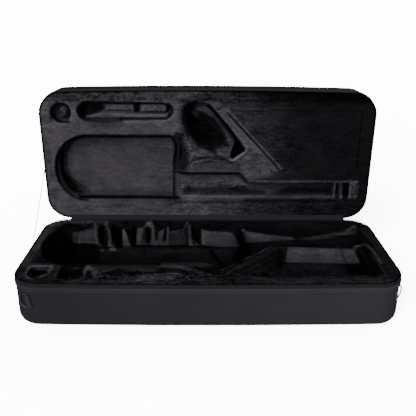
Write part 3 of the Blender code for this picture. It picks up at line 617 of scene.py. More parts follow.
    # the coil: a core with close turns standing out of it
    core = [(0.0016 + 0.0008 * math.cos(a), up(depth - 0.0017 + 0.0009 * math.sin(a)))
            for a in [2 * math.pi * (k + 0.5) / 8 for k in range(8)]]
    coil = sweep(prefix + "_zip_core", core, COIL, lid, ends=True)
    settle(coil, body, prefix + "_zipper_coil", slot="zipper_coil")
    pitch = 0.0022
    s = np.arange(0.003, run[-1] - 0.003, pitch)
    x, y, tx, ty = along(s, 0.0016)
    nx, ny = -ty, tx
    sides = 5
    turns = []
    for c in range(7):
        a = math.pi * (0.15 + 1.7 * c / 6)
        ci, ch, cu = -math.cos(a) * 0.0009, math.sin(a) * 0.0009, (c / 6 - 0.5) * 0.0009
        for k in range(sides):
            b = 2 * math.pi * k / sides
            r = 0.00036 * (0.6 if c in (0, 6) else 1.0)
            ri, rh, ru = -math.cos(a) * math.cos(b) * r, math.sin(a) * math.cos(b) * r, math.sin(b) * r
            turns.append(to_world(x + nx * (ci + ri) + tx * (cu + ru), y + ny * (ci + ri) + ty * (cu + ru),
                                  np.full(len(s), up(depth - 0.0017) + ch + rh), lid))
    block = np.stack(turns).reshape(7 * sides, len(s), 3).transpose(1, 0, 2).reshape(-1, 3)
    local = []
    for c in range(6):
        for k in range(sides):
            j = (k + 1) % sides
            local.append((c * sides + k, c * sides + j, (c + 1) * sides + j, (c + 1) * sides + k))
    local += [(0, 4, 3, 2), (30, 31, 32, 33)]
    local = np.array(local)
    quads = (np.arange(len(s))[:, None, None] * (7 * sides) + local[None]).reshape(-1, 4)
    if signed_volume(block[:7 * sides], local) < 0:
        quads = quads[:, ::-1].copy()
    teeth = fast_mesh(prefix + "_zip_turns", block, quads, COIL)
    bm = bmesh.new()
    bm.from_mesh(teeth.data)
    bmesh.ops.holes_fill(bm, edges=[e for e in bm.edges if e.is_boundary], sides=0)
    bm.to_mesh(teeth.data)
    bm.free()
    settle(teeth, body)


tray("base", BASE_H, False)
tray("lid", LID_D, True)


# ---------------------------------------------------------------- plush over shaped foam
# Each half is one height map over (a, b) in mm, cut into pieces and skinned with an even
# net of quads. Base: a = x, b = distance from the hinge, h = z. Lid: h = minus the depth.
A0, A1, B0, B1 = -424.0, 424.0, -8.0, 344.0
ga = np.arange(A0, A1 + CELL, CELL)
gb = np.arange(B0, B1 + CELL, CELL)
GA, GB = np.meshgrid(ga, gb, indexing="ij")


def outline_sd(inset=0.0):
    bow = 6.0 * np.clip(1 - (GA / 416.5) ** 2, 0, 1) * (GB > 164.5)
    dx = np.abs(GA) - (416.5 - 58.0)
    dy = np.where(GB > 164.5, (GB - bow) - 271.0, 58.0 - GB)
    r = 58.0
    return np.minimum(np.maximum(dx, dy), 0) + np.hypot(np.maximum(dx, 0), np.maximum(dy, 0)) - r + inset


def curve_through(points, per=6, closed=False):
    n, out = len(points), []
    pts = [Vector((*p, 0)) for p in points]
    for i in range(n if closed else n - 1):
        p = [pts[(i + k) % n] if closed else pts[min(max(i + k, 0), n - 1)] for k in (-1, 0, 1, 2)]
        for s in range(per):
            t = s / per
            q = 0.5 * (2 * p[1] + (p[2] - p[0]) * t + (2 * p[0] - 5 * p[1] + 4 * p[2] - p[3]) * t * t
                       + (3 * p[1] - p[0] - 3 * p[2] + p[3]) * t ** 3)
            out.append((q.x, q.y))
    if not closed:
        out.append(tuple(points[-1]))
    return out


def line_dist(points):
    """Distance to a line, and how far along it the nearest point is."""
    best = np.full(GA.shape, 1e9)
    where = np.zeros(GA.shape)
    total = 0.0
    for (x0, y0), (x1, y1) in zip(points, points[1:]):
        dx, dy = x1 - x0, y1 - y0
        l2 = dx * dx + dy * dy or 1e-9
        t = np.clip(((GA - x0) * dx + (GB - y0) * dy) / l2, 0, 1)
        d = np.hypot(GA - x0 - t * dx, GB - y0 - t * dy)
        near = d < best
        best = np.where(near, d, best)
        where = np.where(near, total + t * math.sqrt(l2), where)
        total += math.sqrt(l2)
    return best, where


def poly_sd(points):
    """Signed distance to a closed outline, negative inside."""
    pts = list(points)
    d, _ = line_dist(pts + pts[:1])
    inside = np.zeros(GA.shape, bool)
    for (x0, y0), (x1, y1) in zip(pts, pts[1:] + pts[:1]):
        if y0 == y1:
            continue
        cross = ((y0 > GB) != (y1 > GB)) & (GA < (x1 - x0) * (GB - y0) / (y1 - y0) + x0)
        inside ^= cross
    return np.where(inside, -d, d)


def value_noise(x, y, scale, seed):
    rng = np.random.RandomState(seed)
    table = rng.uniform(-1, 1, (257, 257))
    u, v = x / scale + 64.0, y / scale + 64.0
    i, j = np.floor(u).astype(int), np.floor(v).astype(int)
    f, g = u - i, v - j
    f, g = f * f * (3 - 2 * f), g * g * (3 - 2 * g)
    i, j = i % 256, j % 256
    return (table[i, j] * (1 - f) * (1 - g) + table[i + 1, j] * f * (1 - g)
            + table[i, j + 1] * (1 - f) * g + table[i + 1, j + 1] * f * g)


def carve(H, sd, floor, rt=4.0, rb=6.0, wall=3.0):
    """Sinks the outline to floor: a rounded brim, a steep wall and a fillet at its foot."""
    floor = np.broadcast_to(np.asarray(floor, float), H.shape)
    drop = np.maximum(H - floor, 0.01)
    rt_, rb_ = np.minimum(rt, drop * 0.45), np.minimum(rb, drop * 0.45)
    out = H.copy()
    k = np.clip(sd, 0, rt_)
    brim = H - rt_ + np.sqrt(np.maximum(rt_ ** 2 - (rt_ - k) ** 2, 0))
    out = np.where((sd >= 0) & (sd < rt_), brim, out)
    t = np.clip(-sd / wall, 0, 1)
    out = np.where((sd < 0) & (sd >= -wall), (H - rt_) * (1 - t) + (floor + rb_) * t, out)
    k = np.clip(sd + wall + rb_, 0, rb_)
    out = np.where((sd < -wall) & (sd >= -wall - rb_), floor + rb_ - np.sqrt(np.maximum(rb_ ** 2 - k ** 2, 0)), out)
    out = np.where(sd < -wall - rb_, floor, out)
    return np.minimum(out, H)


def lift(H, sd, top, r=3.0, wall=2.0):
    """Raises the outline to top, with a rounded brim."""
    top = np.broadcast_to(np.asarray(top, float), H.shape)
    r_ = np.minimum(r, np.maximum(top - H, 0.01) * 0.8)
    k = np.clip(sd + r_, 0, r_)
    shape = top - r_ + np.sqrt(np.maximum(r_ ** 2 - k ** 2, 0))
    shape = np.where(sd < -r_, top, shape)
    t = np.clip(sd / wall, 0, 1)
    shape = np.where(sd >= 0, (top - r_) * (1 - t) + H * t, shape)
    return np.where(sd < wall, np.maximum(H, shape), H)


def bead(H, points, height, width):
    d, _ = line_dist(points)
    return H + height * np.exp(-(d / width) ** 2)


def pucker(H, sd, amount, seed, reach=7.0, scale=7.0):
    """Small gathers in the plush where it is tucked over an edge."""
    ripple = value_noise(GA, GB, scale, seed) + 0.6 * value_noise(GA + GB, GA - GB, scale * 0.55, seed + 1)
    return H + amount * ripple * np.exp(-(sd / reach) ** 2)


def blurred(values, sigma):
    """Gaussian blur, sigma in mm, edges carried outward."""
    k = max(1, int(round(3 * sigma / CELL)))
    w = np.exp(-0.5 * (np.arange(-k, k + 1) * CELL / sigma) ** 2)
    w /= w.sum()
    out = values
    for axis in (0, 1):
        pad = [(0, 0), (0, 0)]
        pad[axis] = (k, k)
        grown = np.pad(out, pad, mode="edge")
        out = sum(w[i] * (grown[i:i + values.shape[0]] if axis == 0 else grown[:, i:i + values.shape[1]]) for i in range(2 * k + 1))
    return out


def sampled(values, a, b):
    """A grid's values at points, in between its nodes."""
    x = np.clip((a - ga[0]) / CELL, 0, len(ga) - 1.001)
    y = np.clip((b - gb[0]) / CELL, 0, len(gb) - 1.001)
    i, j = x.astype(int), y.astype(int)
    f, g = x - i, y - j
    return (values[i, j] * (1 - f) * (1 - g) + values[i + 1, j] * f * (1 - g) + values[i, j + 1] * (1 - f) * g + values[i + 1, j + 1] * f * g)


def seen(a, b, h, lid):
    """Where a point of the lining shows on the rim's plane to someone standing in front."""
    if lid:
        far = 1257.5 + 0.0384 * b
        k = far / (far - h)
        return (a + 13.0) * k - 13.0, 562.0 - (562.0 - b) * k
    k = 562.0 / (562.0 + 104.0 - h)
    return (a + 13.0) * k - 13.0, 1257.5 - (1257.5 - b) * k


def paint_area(T, points, value, soft=3.0):
    """Sets the grid inside an outline to one value, with a soft edge: on a tone map, painted light and shade of the
    pile, partly its lie.
    """
    w = np.clip(0.5 - poly_sd(points) / soft, 0, 1)
    w = w * w * (3 - 2 * w)
    return T * (1 - w) + value * w


def paint_line(T, points, width, value, amount=1.0):
    """Sets the grid along a line to a value: on a tone map, painted light and shade of the pile along the line, partly
    its lie.
    """
    w = amount * np.exp(-(line_dist(points)[0] / width) ** 2)
    return T * (1 - w) + value * w


def dab(T, a, b, ra, rb, value, amount=1.0):
    w = amount * np.exp(-((GA - a) / ra) ** 2 - ((GB - b) / rb) ** 2)
    return T * (1 - w) + value * w


def box_poly(a0, a1, b0, b1):
    return [(a0, b0), (a1, b0), (a1, b1), (a0, b1)]


def surface_net(F, origin, cell):
    """Quads between the cells where F changes sign; F is negative inside."""
    inside = F < 0
    nx, ny, nz = F.shape
    total = np.zeros((nx - 1, ny - 1, nz - 1), np.int8)
    for dx in (0, 1):
        for dy in (0, 1):
            for dz in (0, 1):
                total += inside[dx:nx - 1 + dx, dy:ny - 1 + dy, dz:nz - 1 + dz]
    active = (total > 0) & (total < 8)
    index = np.full(active.shape, -1, np.int64)
    count = int(active.sum())
    index[active] = np.arange(count)
    sums, num, quads = np.zeros((count, 3)), np.zeros(count), []
    shape = active.shape
    for axis in range(3):
        lo = [slice(None)] * 3
        hi = [slice(None)] * 3
        lo[axis], hi[axis] = slice(0, -1), slice(1, None)
        a, b = F[tuple(lo)], F[tuple(hi)]
        cross = (a < 0) != (b < 0)
        e = np.argwhere(cross)
        t = (a / np.where(a == b, 1, a - b))[cross]
        p = e.astype(float)
        p[:, axis] += t
        o1, o2 = [k for k in range(3) if k != axis]
        ids, good = [], np.ones(len(e), bool)
        for d1, d2 in ((0, 0), (-1, 0), (-1, -1), (0, -1)):
            c = e.copy()
            c[:, o1] += d1
            c[:, o2] += d2
            ok = (c >= 0).all(1) & (c < np.array(shape)).all(1)
            c = np.clip(c, 0, np.array(shape) - 1)
            k = index[c[:, 0], c[:, 1], c[:, 2]]
            ok &= k >= 0
            good &= ok
            ids.append(k)
            for j in range(3):
                sums[:, j] += np.bincount(k[ok], p[ok, j], count)
            num += np.bincount(k[ok], minlength=count)
        q = np.stack(ids, 1)[good]
        flip = (a[cross] < 0)[good]
        if axis == 1:
            flip = ~flip
        q[flip] = q[flip][:, ::-1]
        quads.append(q)
    points = sums / np.maximum(num, 1)[:, None]
    return points * cell + np.array(origin), np.concatenate(quads)


def relax(points, quads, rounds, amount=0.5):
    n = len(points)
    ea = np.concatenate([quads[:, k] for k in range(4)])
    eb = np.concatenate([quads[:, (k + 1) % 4] for k in range(4)])
    for _ in range(rounds):
        num = np.bincount(ea, minlength=n) + np.bincount(eb, minlength=n)
        mean = np.stack([np.bincount(ea, points[eb, j], n) + np.bincount(eb, points[ea, j], n) for j in range(3)], 1)
        points = points + amount * (mean / np.maximum(num, 1)[:, None] - points)
    return points


def vertex_normals(points, quads):
    d1 = points[quads[:, 2]] - points[quads[:, 0]]
    d2 = points[quads[:, 3]] - points[quads[:, 1]]
    f = np.cross(d1, d2)
    n = np.stack([sum(np.bincount(quads[:, k], f[:, j], len(points)) for k in range(4)) for j in range(3)], 1)
    return n / np.maximum(np.linalg.norm(n, axis=1, keepdims=True), 1e-12)


def lining(H, low, labels, names, look, lid, level, seed=1, crush=0.30, rounds=2):
    """The plush over one half: one even net over the height map, split by label into the
    blocks it covers. Neighbours share their edge points and normals, so nothing shows
    where they meet but the creases of the height map. level gives the painted light and shade of the pile, partly its
    lie, and its unevenness."""
    gh = np.arange(low, float(H.max()) + 2 * CELL, CELL)
    F = np.maximum(gh[None, None, :] - H[:, :, None], SD[:, :, None] + 2.9)
    F = np.maximum(F, (low + 0.3 * CELL - gh)[None, None, :])
    F[0], F[-1], F[:, 0], F[:, -1] = 1, 1, 1, 1
    points, quads = surface_net(F, (ga[0], gb[0], gh[0]), CELL)
    points = relax(points, quads, rounds)
    if signed_volume(points, quads) < 0:
        quads = quads[:, ::-1].copy()
    normal = vertex_normals(points, quads)
    smoother = relax(points, quads, 3)
    bend = np.einsum("ij,ij->i", normal, smoother - points)
    a, b, h = points.T
    folds = (value_noise(a + 0.35 * h, b - 0.2 * h, 9.0, seed) + 0.6 * value_noise(a - b * 0.4, h * 0.5 + b, 4.6, seed + 5)
             + 0.9 * value_noise(a, b + h, 27.0, seed + 9))
    steep = 1 - np.abs(normal[:, 2])
    pleat = value_noise(a + b * 0.8, h * 0.30 + b * 0.2, 8.0, seed + 13)
    move = crush * folds * (0.6 + 0.5 * steep) + 0.5 * steep * pleat * crush
    points = points + normal * move[:, None]
    normal = vertex_normals(points, quads)
    a, b, h = points.T
    # painted light and shade: the pile is lighter on raised edges and convex bends, darker in creases and where it lies
    # sunk below its surroundings, then scaled by the painted tone map
    capped = np.where(SD > -7.0, np.median(H[(SD < -8) & (SD > -10)]), H)
    near, wide = blurred(capped, 4.0), blurred(capped, 11.0)
    ridge = np.clip(h - sampled(near, a, b), 0, 3)
    sunk = np.clip(sampled(wide, a, b) - h, 0, 40)
    nap_and_painted_light = (1 + 0.16 * np.clip(ridge / 1.2, 0, 1.4) + 0.22 * np.clip(-bend / 0.5, 0, 1)) * np.exp(-sunk / 60.0)
    nap_and_painted_light = nap_and_painted_light * (1 - 0.35 * np.clip(bend / 0.6, 0, 1))
    tone, uneven = level(a, b, h, normal)
    nap_and_painted_light = nap_and_painted_light * tone
    centre = points[quads].mean(1)
    under = (points[quads][:, :, 2] < low + 0.9 * CELL).all(1) & (np.abs(vertex_normals(points, quads)[quads[:, 0], 2]) > 0.7)
    i = np.clip(np.rint((centre[:, 0] - ga[0]) / CELL).astype(int), 0, len(ga) - 1)
    j = np.clip(np.rint((centre[:, 1] - gb[0]) / CELL).astype(int), 0, len(gb) - 1)
    label = labels[i, j]
    world = to_world(points[:, 0] / 1000, WIDTH / 2 - points[:, 1] / 1000, points[:, 2] / 1000, lid)
    wnormal = to_world(normal[:, 0], WIDTH / 2 - normal[:, 1], normal[:, 2], lid) - to_world(0.0, WIDTH / 2, 0.0, lid)
    flip = signed_volume(world, quads) < 0
    count = 0
    for k, (name, nodes) in enumerate(names):
        mine = quads[(label == k) & ~under]
        if not len(mine):
            raise RuntimeError(name + " is empty")
        # curtain down from the open edges, and a flat underside
        edges = np.concatenate([np.stack([mine[:, c], mine[:, (c + 1) % 4]], 1) for c in range(4)])
        key = edges[:, 0].astype(np.int64) * len(points) + edges[:, 1]
        back = edges[:, 1].astype(np.int64) * len(points) + edges[:, 0]
        rim_edges = edges[~np.isin(key, back)]
        used = np.unique(mine)
        where = np.full(len(points), -1)
        where[used] = np.arange(len(used))
        feet = np.unique(rim_edges)
        foot = np.full(len(points), -1)
        foot[feet] = len(used) + np.arange(len(feet))
        drop = points[feet].copy()
        drop[:, 2] = low
        drop_world = to_world(drop[:, 0] / 1000, WIDTH / 2 - drop[:, 1] / 1000, drop[:, 2] / 1000, lid)
        curtain = np.stack([where[rim_edges[:, 1]], where[rim_edges[:, 0]], foot[rim_edges[:, 0]], foot[rim_edges[:, 1]]], 1)
        after = {}
        for p, q in zip(rim_edges[:, 0].tolist(), rim_edges[:, 1].tolist()):
            after.setdefault(p, []).append(q)
        loops = []
        while after:
            start = next(iter(after))
            loop, at = [], start
            while at in after:
                loop.append(at)
                nxt = after[at].pop()
                if not after[at]:
                    del after[at]
                at = nxt
            if len(loop) > 2:
                loops.append(loop)
        order = [v for loop in loops for v in loop]
        flat = [[Vector((points[v, 0], points[v, 1], 0.0)) for v in loop] for loop in loops]
        caps = np.array(tessellate_polygon(flat), int).reshape(-1, 3)
        caps = foot[np.array(order)[caps]]
        verts = np.concatenate([world[used], drop_world])
        norms = np.concatenate([wnormal[used], wnormal[feet]])
        corner = verts[caps]
        turn = np.cross(corner[:, 1] - corner[:, 0], corner[:, 2] - corner[:, 0])
        down = np.array(tuple(LID_T)) if lid else np.array((0, 0, -1.0))
        wrong = turn @ down < 0
        caps[wrong] = caps[wrong][:, ::-1]
        keep = np.linalg.norm(turn, axis=1) > 1e-12
        top = np.concatenate([where[mine], curtain])
        if flip:
            top = top[:, ::-1]
        made = mixed_mesh(name, verts, (top, caps[keep]), look)
        made.data.normals_split_custom_set_from_vertices([tuple(v) for v in norms])
        layer = made.data.attributes.new("nap_and_painted_light", "FLOAT", "POINT")
        layer.data.foreach_set("value", np.concatenate([nap_and_painted_light[used], nap_and_painted_light[feet]]).astype(np.float32))
        layer = made.data.attributes.new("crush", "FLOAT", "POINT")
        layer.data.foreach_set("value", np.concatenate([uneven[used], uneven[feet]]).astype(np.float32))
        settle(made, "lid" if lid else "base", *nodes, slot="plush")
        count += len(top)
    return count


SD = outline_sd()


# ---------------------------------------------------------------- base half
def base_half():
    H = np.full(GA.shape, 101.0)
    # border: crowned, a little higher than the blocks
    s = -SD
    crown = 102.6 - 0.0035 * np.clip(s - 10, 0, 30) ** 2
    H = np.where(s < 24, crown, H)
    H = np.where((s >= 24), 100.6 - 0.6 * np.clip((s - 24) / 60, 0, 1), H)
    H = H + 0.5 * value_noise(GA, GB, 38.0, 5) + 0.25 * value_noise(GA, GB, 14.0, 6)
    k = np.clip(s - 2.9, 0, 4.0)
    H = H - 4.0 + np.sqrt(np.maximum(16 - (4 - k) ** 2, 0))

    # rear fence and tail wall: their tops
    fence = poly_sd(box_poly(-331, 84, 22, 84))
    top_line = np.interp(GA, [-331, -318, -300, -284, -240, -205, -160, -120, -95, -58, -45, 0, 60, 84],
                         [86, 90, 95, 99, 98, 97, 99, 96, 94.5, 95.5, 99, 96.5, 95, 93])
    back = np.clip((GB - 22) / 14.0, 0, 1)
    H = np.where((GA > -331) & (GA < 84.5) & (GB > 22) & (GB < 84), 100.0 * (1 - back) + top_line * back, H)
    tail_line = np.interp(GA, [84, 90, 100, 130, 165, 205, 250, 300, 335, 360, 380, 395],
                          [98, 98, 95.5, 91, 86.5, 81.5, 80.0, 83.0, 88.0, 93.0, 98.0, 99.0])
    back = np.clip((GB - 22) / 26.0, 0, 1)
    back = back * back * (3 - 2 * back)
    H = np.where((GA >= 84.5) & (GB > 22) & (GB < 64), H * (1 - back) + tail_line * back, H)

    # fence front: panels a little dished, wider at the foot, with ridges beside the gaps
    shelf = poly_sd([(-348, 60)] + [(a, 60 + 1.5 * math.sin(a / 17.0)) for a in range(-330, 85, 6)] + [(84.5, 60), (84.5, 118), (-348, 118)])
    H = carve(H, shelf, 57.0, rt=4.0, rb=8.0, wall=9.0)
    for a0, a1, z0, back_w in ((-277, -263, 62, 30), (-245, -217, 57, 24), (-194, -180, 57, 24), (-158, -142, 60, 30),
                               (-112, -104, 66, 34), (-40, -16, 57, 26)):
        H = carve(H, poly_sd([(a0 + 3, back_w), (a1 - 3, back_w), (a1, 62), (a1 + 1, 118), (a0 - 1, 118), (a0, 62)]), z0, rt=4.5, rb=4.0, wall=2.5)
    for line, height, width in (
            ([(-285, 40), (-284, 60), (-279, 72), (-276, 84)], 7.0, 4.5), ([(-259, 40), (-256, 62), (-246, 76), (-234, 90)], 9.0, 5.0),
            ([(-213, 56), (-207, 66), (-200, 74)], 8.0, 6.0), ([(-171, 44), (-171, 66), (-169, 76)], 6.0, 5.0),
            ([(-137, 36), (-134, 60), (-130, 76)], 6.0, 4.5), ([(-99, 50), (-98, 64), (-97, 76)], 5.0, 4.0),
            ([(-51, 38), (-49, 60), (-46, 76)], 7.0, 4.0), ([(-41, 70), (-30, 82)], 6.0, 4.5),
            ([(-8, 52), (-8, 64)], 2.5, 5.0), ([(66, 62), (72, 80)], 3.0, 5.0)):
        d, _ = line_dist(line)
        grow = height * np.exp(-(d / width) ** 2)
        H = np.where((GB > 34) & (GB < 98), np.minimum(H + grow * np.clip((101 - H) / 8.0, 0, 1), 100.5), H)
    # dished panels
    for a, b, ra, rb, deep in ((-310, 70, 20, 14, 3.0), (-78, 70, 16, 14, 4.0), (30, 72, 34, 12, 2.0), (-120, 68, 8, 12, 2.0)):
        H = H - deep * np.exp(-((GA - a) / ra) ** 2 - ((GB - b) / rb) ** 2) * (GB > 40)

    # main cavity, down to the floor
    left = curve_through([(-366, 44), (-381, 80), (-389, 112), (-392, 141), (-391, 158), (-376, 200), (-350, 226),
                          (-310, 243), (-240, 247.5)], 4)
    main = poly_sd([(-331, 40)] + [(-352, 38)] + left + [(-150, 244), (-60, 241), (-10, 246), (14, 262), (26, 273), (44, 258),
                                                            (129.5, 176.6), (116, 176), (85, 176), (85, 90), (-250, 92), (-331, 86)])
    floor = 24.6 + 3.2 / (1 + np.exp((GB - (196 - 0.14 * (GA + 200))) / 2.2)) * (GA > -230) * (GA < 40)
    floor = floor + 0.7 * value_noise(GA, GB, 30.0, 31)
    H = carve(H, main, floor, rt=6.0, rb=9.0, wall=4.0)

    # channel for the body tube and its front rib
    channel = poly_sd([(85, 61), (386, 61), (389, 80), (389, 128), (384, 140.5), (172, 140.5), (158, 141.5), (128, 168), (117, 177), (85, 177)])
    H = carve(H, channel, 64.6, rt=4.0, rb=10.0, wall=5.0)
    rib = poly_sd([(172.5, 140.5), (374, 140.5), (374, 149), (172.5, 149)])
    H = np.where(rib < 1.0, np.minimum(H, 96.5 + 1.5 * np.clip((GA - 300) / 60, 0, 1)), H)

    # compartment: rear wall, rounded right end, straight front; ramp on the left
    comp = poly_sd([(161, 150.2), (330, 150.2), (352, 150.0), (371, 154), (379, 172), (382, 225), (379, 272), (372, 292), (356, 299),
                    (300, 300.5), (140, 300), (112, 297), (60, 272), (66, 258), (150, 166)])
    H = carve(H, comp, 54.6, rt=5.0, rb=7.0, wall=2.5)
    # the ramp from the ridge down to the compartment floor
    ridge, _ = line_dist([(28, 274), (157, 156)])
    side = (GA - 28) * (156 - 274) - (GB - 274) * (157 - 28)
    below = side < 0
    foot, _ = line_dist([(172, 149), (171, 215), (164, 248), (118, 298)])
    share = np.clip(foot / np.maximum(foot + np.maximum(ridge - 12, 0), 1e-6), 0, 1)
    share = share ** 1.15
    ramp_h = 55.0 + (97.5 - 55.0) * share
    in_ramp = poly_sd([(40, 268), (158, 156), (172, 150), (171, 215), (164, 248), (118, 298), (56, 298)]) < 0
    H = np.where(in_ramp, np.maximum(ramp_h - 1.0 * np.sin(ridge / 5.2) * share, H), H)
    H = bead(H, [(30, 276), (157, 159)], 2.2, 2.8)
    H = bead(H, [(39, 284), (160, 170)], 2.4, 2.8)
    # rounded top of the right end's wall, and the seam in the rear wall
    H = H - 1.6 * np.exp(-((GA - 309) / 2.4) ** 2) * (GB > 144) * (GB < 157)
    end_edge, _ = line_dist([(352, 150), (371, 154), (379, 172), (382, 225), (379, 272)])
    H = H + 1.8 * np.exp(-((end_edge - 5) / 3.0) ** 2) * (GA > 330) * (H > 90)

    # small pockets at the front left
    d_shape = [(-387, 253), (-343, 253)] + [(-365 + 22 * math.cos(math.radians(a)), 279 + 25 * math.sin(math.radians(a))) for a in range(0, 181, 10)]
    d_sd = poly_sd(d_shape)
    H = H + 1.8 * np.exp(-((d_sd - 2.4) / 1.9) ** 2)
    tilt = 59 + 10 * np.clip((GB - 285) / 20, 0, 1) + 0.0 * GA
    H = carve(H, d_sd, tilt, rt=2.0, rb=5.0, wall=2.0)
    m_sd = poly_sd([(-320, 256), (-270, 255), (-267, 262), (-267, 300), (-272, 305), (-316, 305), (-321, 298)])
    H = carve(H, m_sd, 63.0, rt=4.0, rb=5.0, wall=3.0)
    H = lift(H, poly_sd([(-306, 252), (-276, 252), (-276, 268), (-306, 268)]), 86.0, 3.0, 4.0)
    H = bead(H, [(-265, 250), (-264, 303)], 1.6, 2.6)
    H = bead(H, [(-264, 252), (-250, 272), (-234, 296)], 2.6, 3.4)
    H = H - 2.6 * np.exp(-(poly_sd([(-262, 262), (-257, 290), (-245, 296)]) / 5.0) ** 2) * (GA < -240)

    # shallow arched recess for the neck
    groove = curve_through([(-252, 288), (-215, 272), (-150, 265), (-95, 264), (-48, 277), (-26, 300)], 5)
    back = curve_through([(-50, 304), (-68, 291), (-100, 285), (-150, 287), (-205, 293), (-236, 306)], 5)
    g_sd = poly_sd(groove + back)
    H = carve(H, g_sd, 79.0, rt=7.0, rb=7.0, wall=6.0)
    H = bead(H, [(-100, 256), (-60, 256), (-30, 262), (2, 286)], 1.5, 4.0)
    H = H - 1.8 * np.exp(-(line_dist([(-32, 256), (-8, 268), (14, 290)])[0] / 2.6) ** 2)
    for a, b, r, up in ((-118, 308, 16, 1.5), (-72, 306, 11, 2.2), (-98, 300, 6, 1.2), (-46, 310, 9, 1.6), (6, 300, 12, 1.2), (-10, 318, 8, -1.2),
                        (-70, 311, 5, -2.6), (30, 306, 12, 1.0), (16, 316, 5, -1.5)):
        H = H + up * np.exp(-((GA - a) ** 2 + (GB - b) ** 2) / r ** 2)
    # gathers in the plush round the openings
    for sd, seed in ((main, 41), (comp, 43), (channel, 45), (d_sd, 47), (m_sd, 49), (g_sd, 51)):
        H = pucker(H, sd, 0.45, seed)
    rough = np.clip((GB - 250) / 20, 0, 1) * (GA < 60) * (GA > -235) * (H > 90)
    H = H + rough * (0.8 * value_noise(GA, GB, 9.0, 61) + 0.5 * value_noise(GA, GB, 5.0, 62))

    # the blocks under the plush
    order = [("base_border_plush", ["base_wall_foam"], None),
             ("base_floor_plush", ["base_floor_foam"], main + 3.0),
             ("base_corner_plush", ["base_bell_corner_block"], poly_sd([(-420, 0), (-331, 0), (-331, 140), (-420, 140)])),
             ("base_fence_plush", ["base_rear_fence", "base_rear_ledge"], poly_sd([(-331, 10), (85, 10), (85, 92), (-331, 92)])),
             ("base_tail_plush", ["base_tail_wall"], poly_sd([(85, 0), (430, 0), (430, 62), (85, 62)])),
             ("base_channel_plush", ["base_channel_floor", "base_channel_rib"],
              poly_sd([(85, 62), (430, 62), (430, 149), (166, 149), (158, 155), (136, 175), (85, 179)])),
             ("base_divider_plush", ["base_divider"],
              poly_sd([(27, 272), (40, 262), (136, 175), (158, 155), (166, 149), (172, 149), (172, 215), (165, 249), (118, 299), (118, 345), (27, 345)])),
             ("base_compartment_plush", ["base_compartment_floor", "base_front_rail", "base_end_block"],
              poly_sd([(172, 149), (430, 149), (430, 345), (118, 345), (118, 299), (165, 249), (172, 215)])),
             ("base_front_pocket_plush", ["base_front_pocket_block"], poly_sd([(-430, 140), (-260, 140), (-260, 345), (-430, 345)])),
             ("base_front_plush", ["base_front_block", "base_crook_layer"], poly_sd([(-260, 140), (30, 140), (30, 345), (-260, 345)]))]
    labels = np.zeros(GA.shape, int)
    inner = SD < -22.0
    taken = ~inner
    for k, (name, nodes, sd) in enumerate(order):
        if sd is None:
            continue
        here = (sd < 0) & ~taken
        labels[here] = k
        taken |= here
    labels[~taken] = 1

    # painted light and shade of the pile in the rim's plane (lit faces, shaded floors and recesses, dark shadow lines
    # along edges, partly the pile's lie), and its unevenness
    T = np.full(GA.shape, 0.12)
    C = np.full(GA.shape, 0.40)
    T = paint_area(T, [(-420, -8), (424, -8), (424, 14), (-300, 16), (-395, 60), (-396, 240), (-330, 250), (-100, 250), (40, 300), (345, 300), (386, 285),
                (392, 150), (385, 60), (424, 40), (424, 344), (-424, 344)], 0.42, 10.0)
    T = T + 0.42 * np.clip((-300 - GA) / 60, 0, 1) * np.clip((SD + 40) / 20, 0, 1) * np.clip((270 - GB) / 60, 0, 1)
    T = dab(T, -320, 22, 50, 12, 0.85)
    T = dab(T, -215, 30, 45, 20, 0.10)
    T = dab(T, 210, 35, 110, 22, 0.17)
    T = paint_area(T, [(-366, 40), (-392, 110), (-392, 160), (-375, 202), (-350, 226), (-310, 243), (-262, 246), (-252, 160), (-275, 150), (-325, 146), (-338, 100), (-334, 60)], 0.15, 6.0)
    T = paint_area(T, [(-250, 160), (75, 160), (85, 178), (112, 178), (28, 272), (0, 246), (-60, 236), (-240, 244)], 0.18, 8.0)
    # notched fence: panels, fins and arches
    T = paint_area(T, [(-334, 86), (-302, 67), (-288, 44), (-280, 46), (-274, 100), (-262, 140), (-266, 147), (-320, 142), (-330, 116)], 0.62, 4.0)
    T = paint_line(T, [(-283, 60), (-279, 90), (-272, 122)], 4.5, 0.36, 0.8)
    T = paint_line(T, [(-318, 139), (-290, 138), (-268, 143), (-258, 152)], 4.0, 1.10)
    T = paint_line(T, [(-290, 34), (-284, 62), (-274, 112), (-260, 148), (-245, 185)], 3.4, 1.00)
    T = paint_line(T, [(-276, 24), (-268, 18), (-262, 28)], 5.0, 0.62)
    T = paint_area(T, [(-272, 44), (-265, 50), (-256, 90), (-246, 150), (-252, 152), (-265, 100)], 0.04, 2.5)
    T = paint_line(T, [(-262, 34), (-252, 60), (-243, 96), (-234, 132), (-226, 160)], 3.2, 0.95)
    T = paint_area(T, [(-240, 130), (-233, 124), (-222, 150), (-212, 184), (-228, 184), (-236, 160)], 1.20, 3.0)
    T = paint_area(T, [(-247, 56), (-218, 56), (-215, 95), (-203, 150), (-198, 168), (-212, 172), (-226, 130), (-238, 90)], 0.05, 4.0)
    T = paint_area(T, [(-215, 64), (-209, 74), (-198, 108), (-190, 140), (-178, 166), (-199, 168), (-205, 130), (-211, 96)], 1.15, 2.6)
    T = paint_area(T, [(-207, 66), (-180, 60), (-180, 100), (-172, 152), (-176, 160), (-187, 140), (-196, 104)], 0.05, 3.0)
    T = paint_area(T, [(-178, 62), (-162, 49), (-158, 24), (-149, 14), (-143, 26), (-136, 60), (-132, 100), (-122, 152), (-170, 153), (-175, 110)], 0.88, 3.4)
    T = paint_area(T, [(-161, 54), (-145, 52), (-143, 90), (-138, 126), (-158, 128), (-162, 100)], 0.20, 5.0)
    T = dab(T, -144, 112, 6, 12, 0.05)
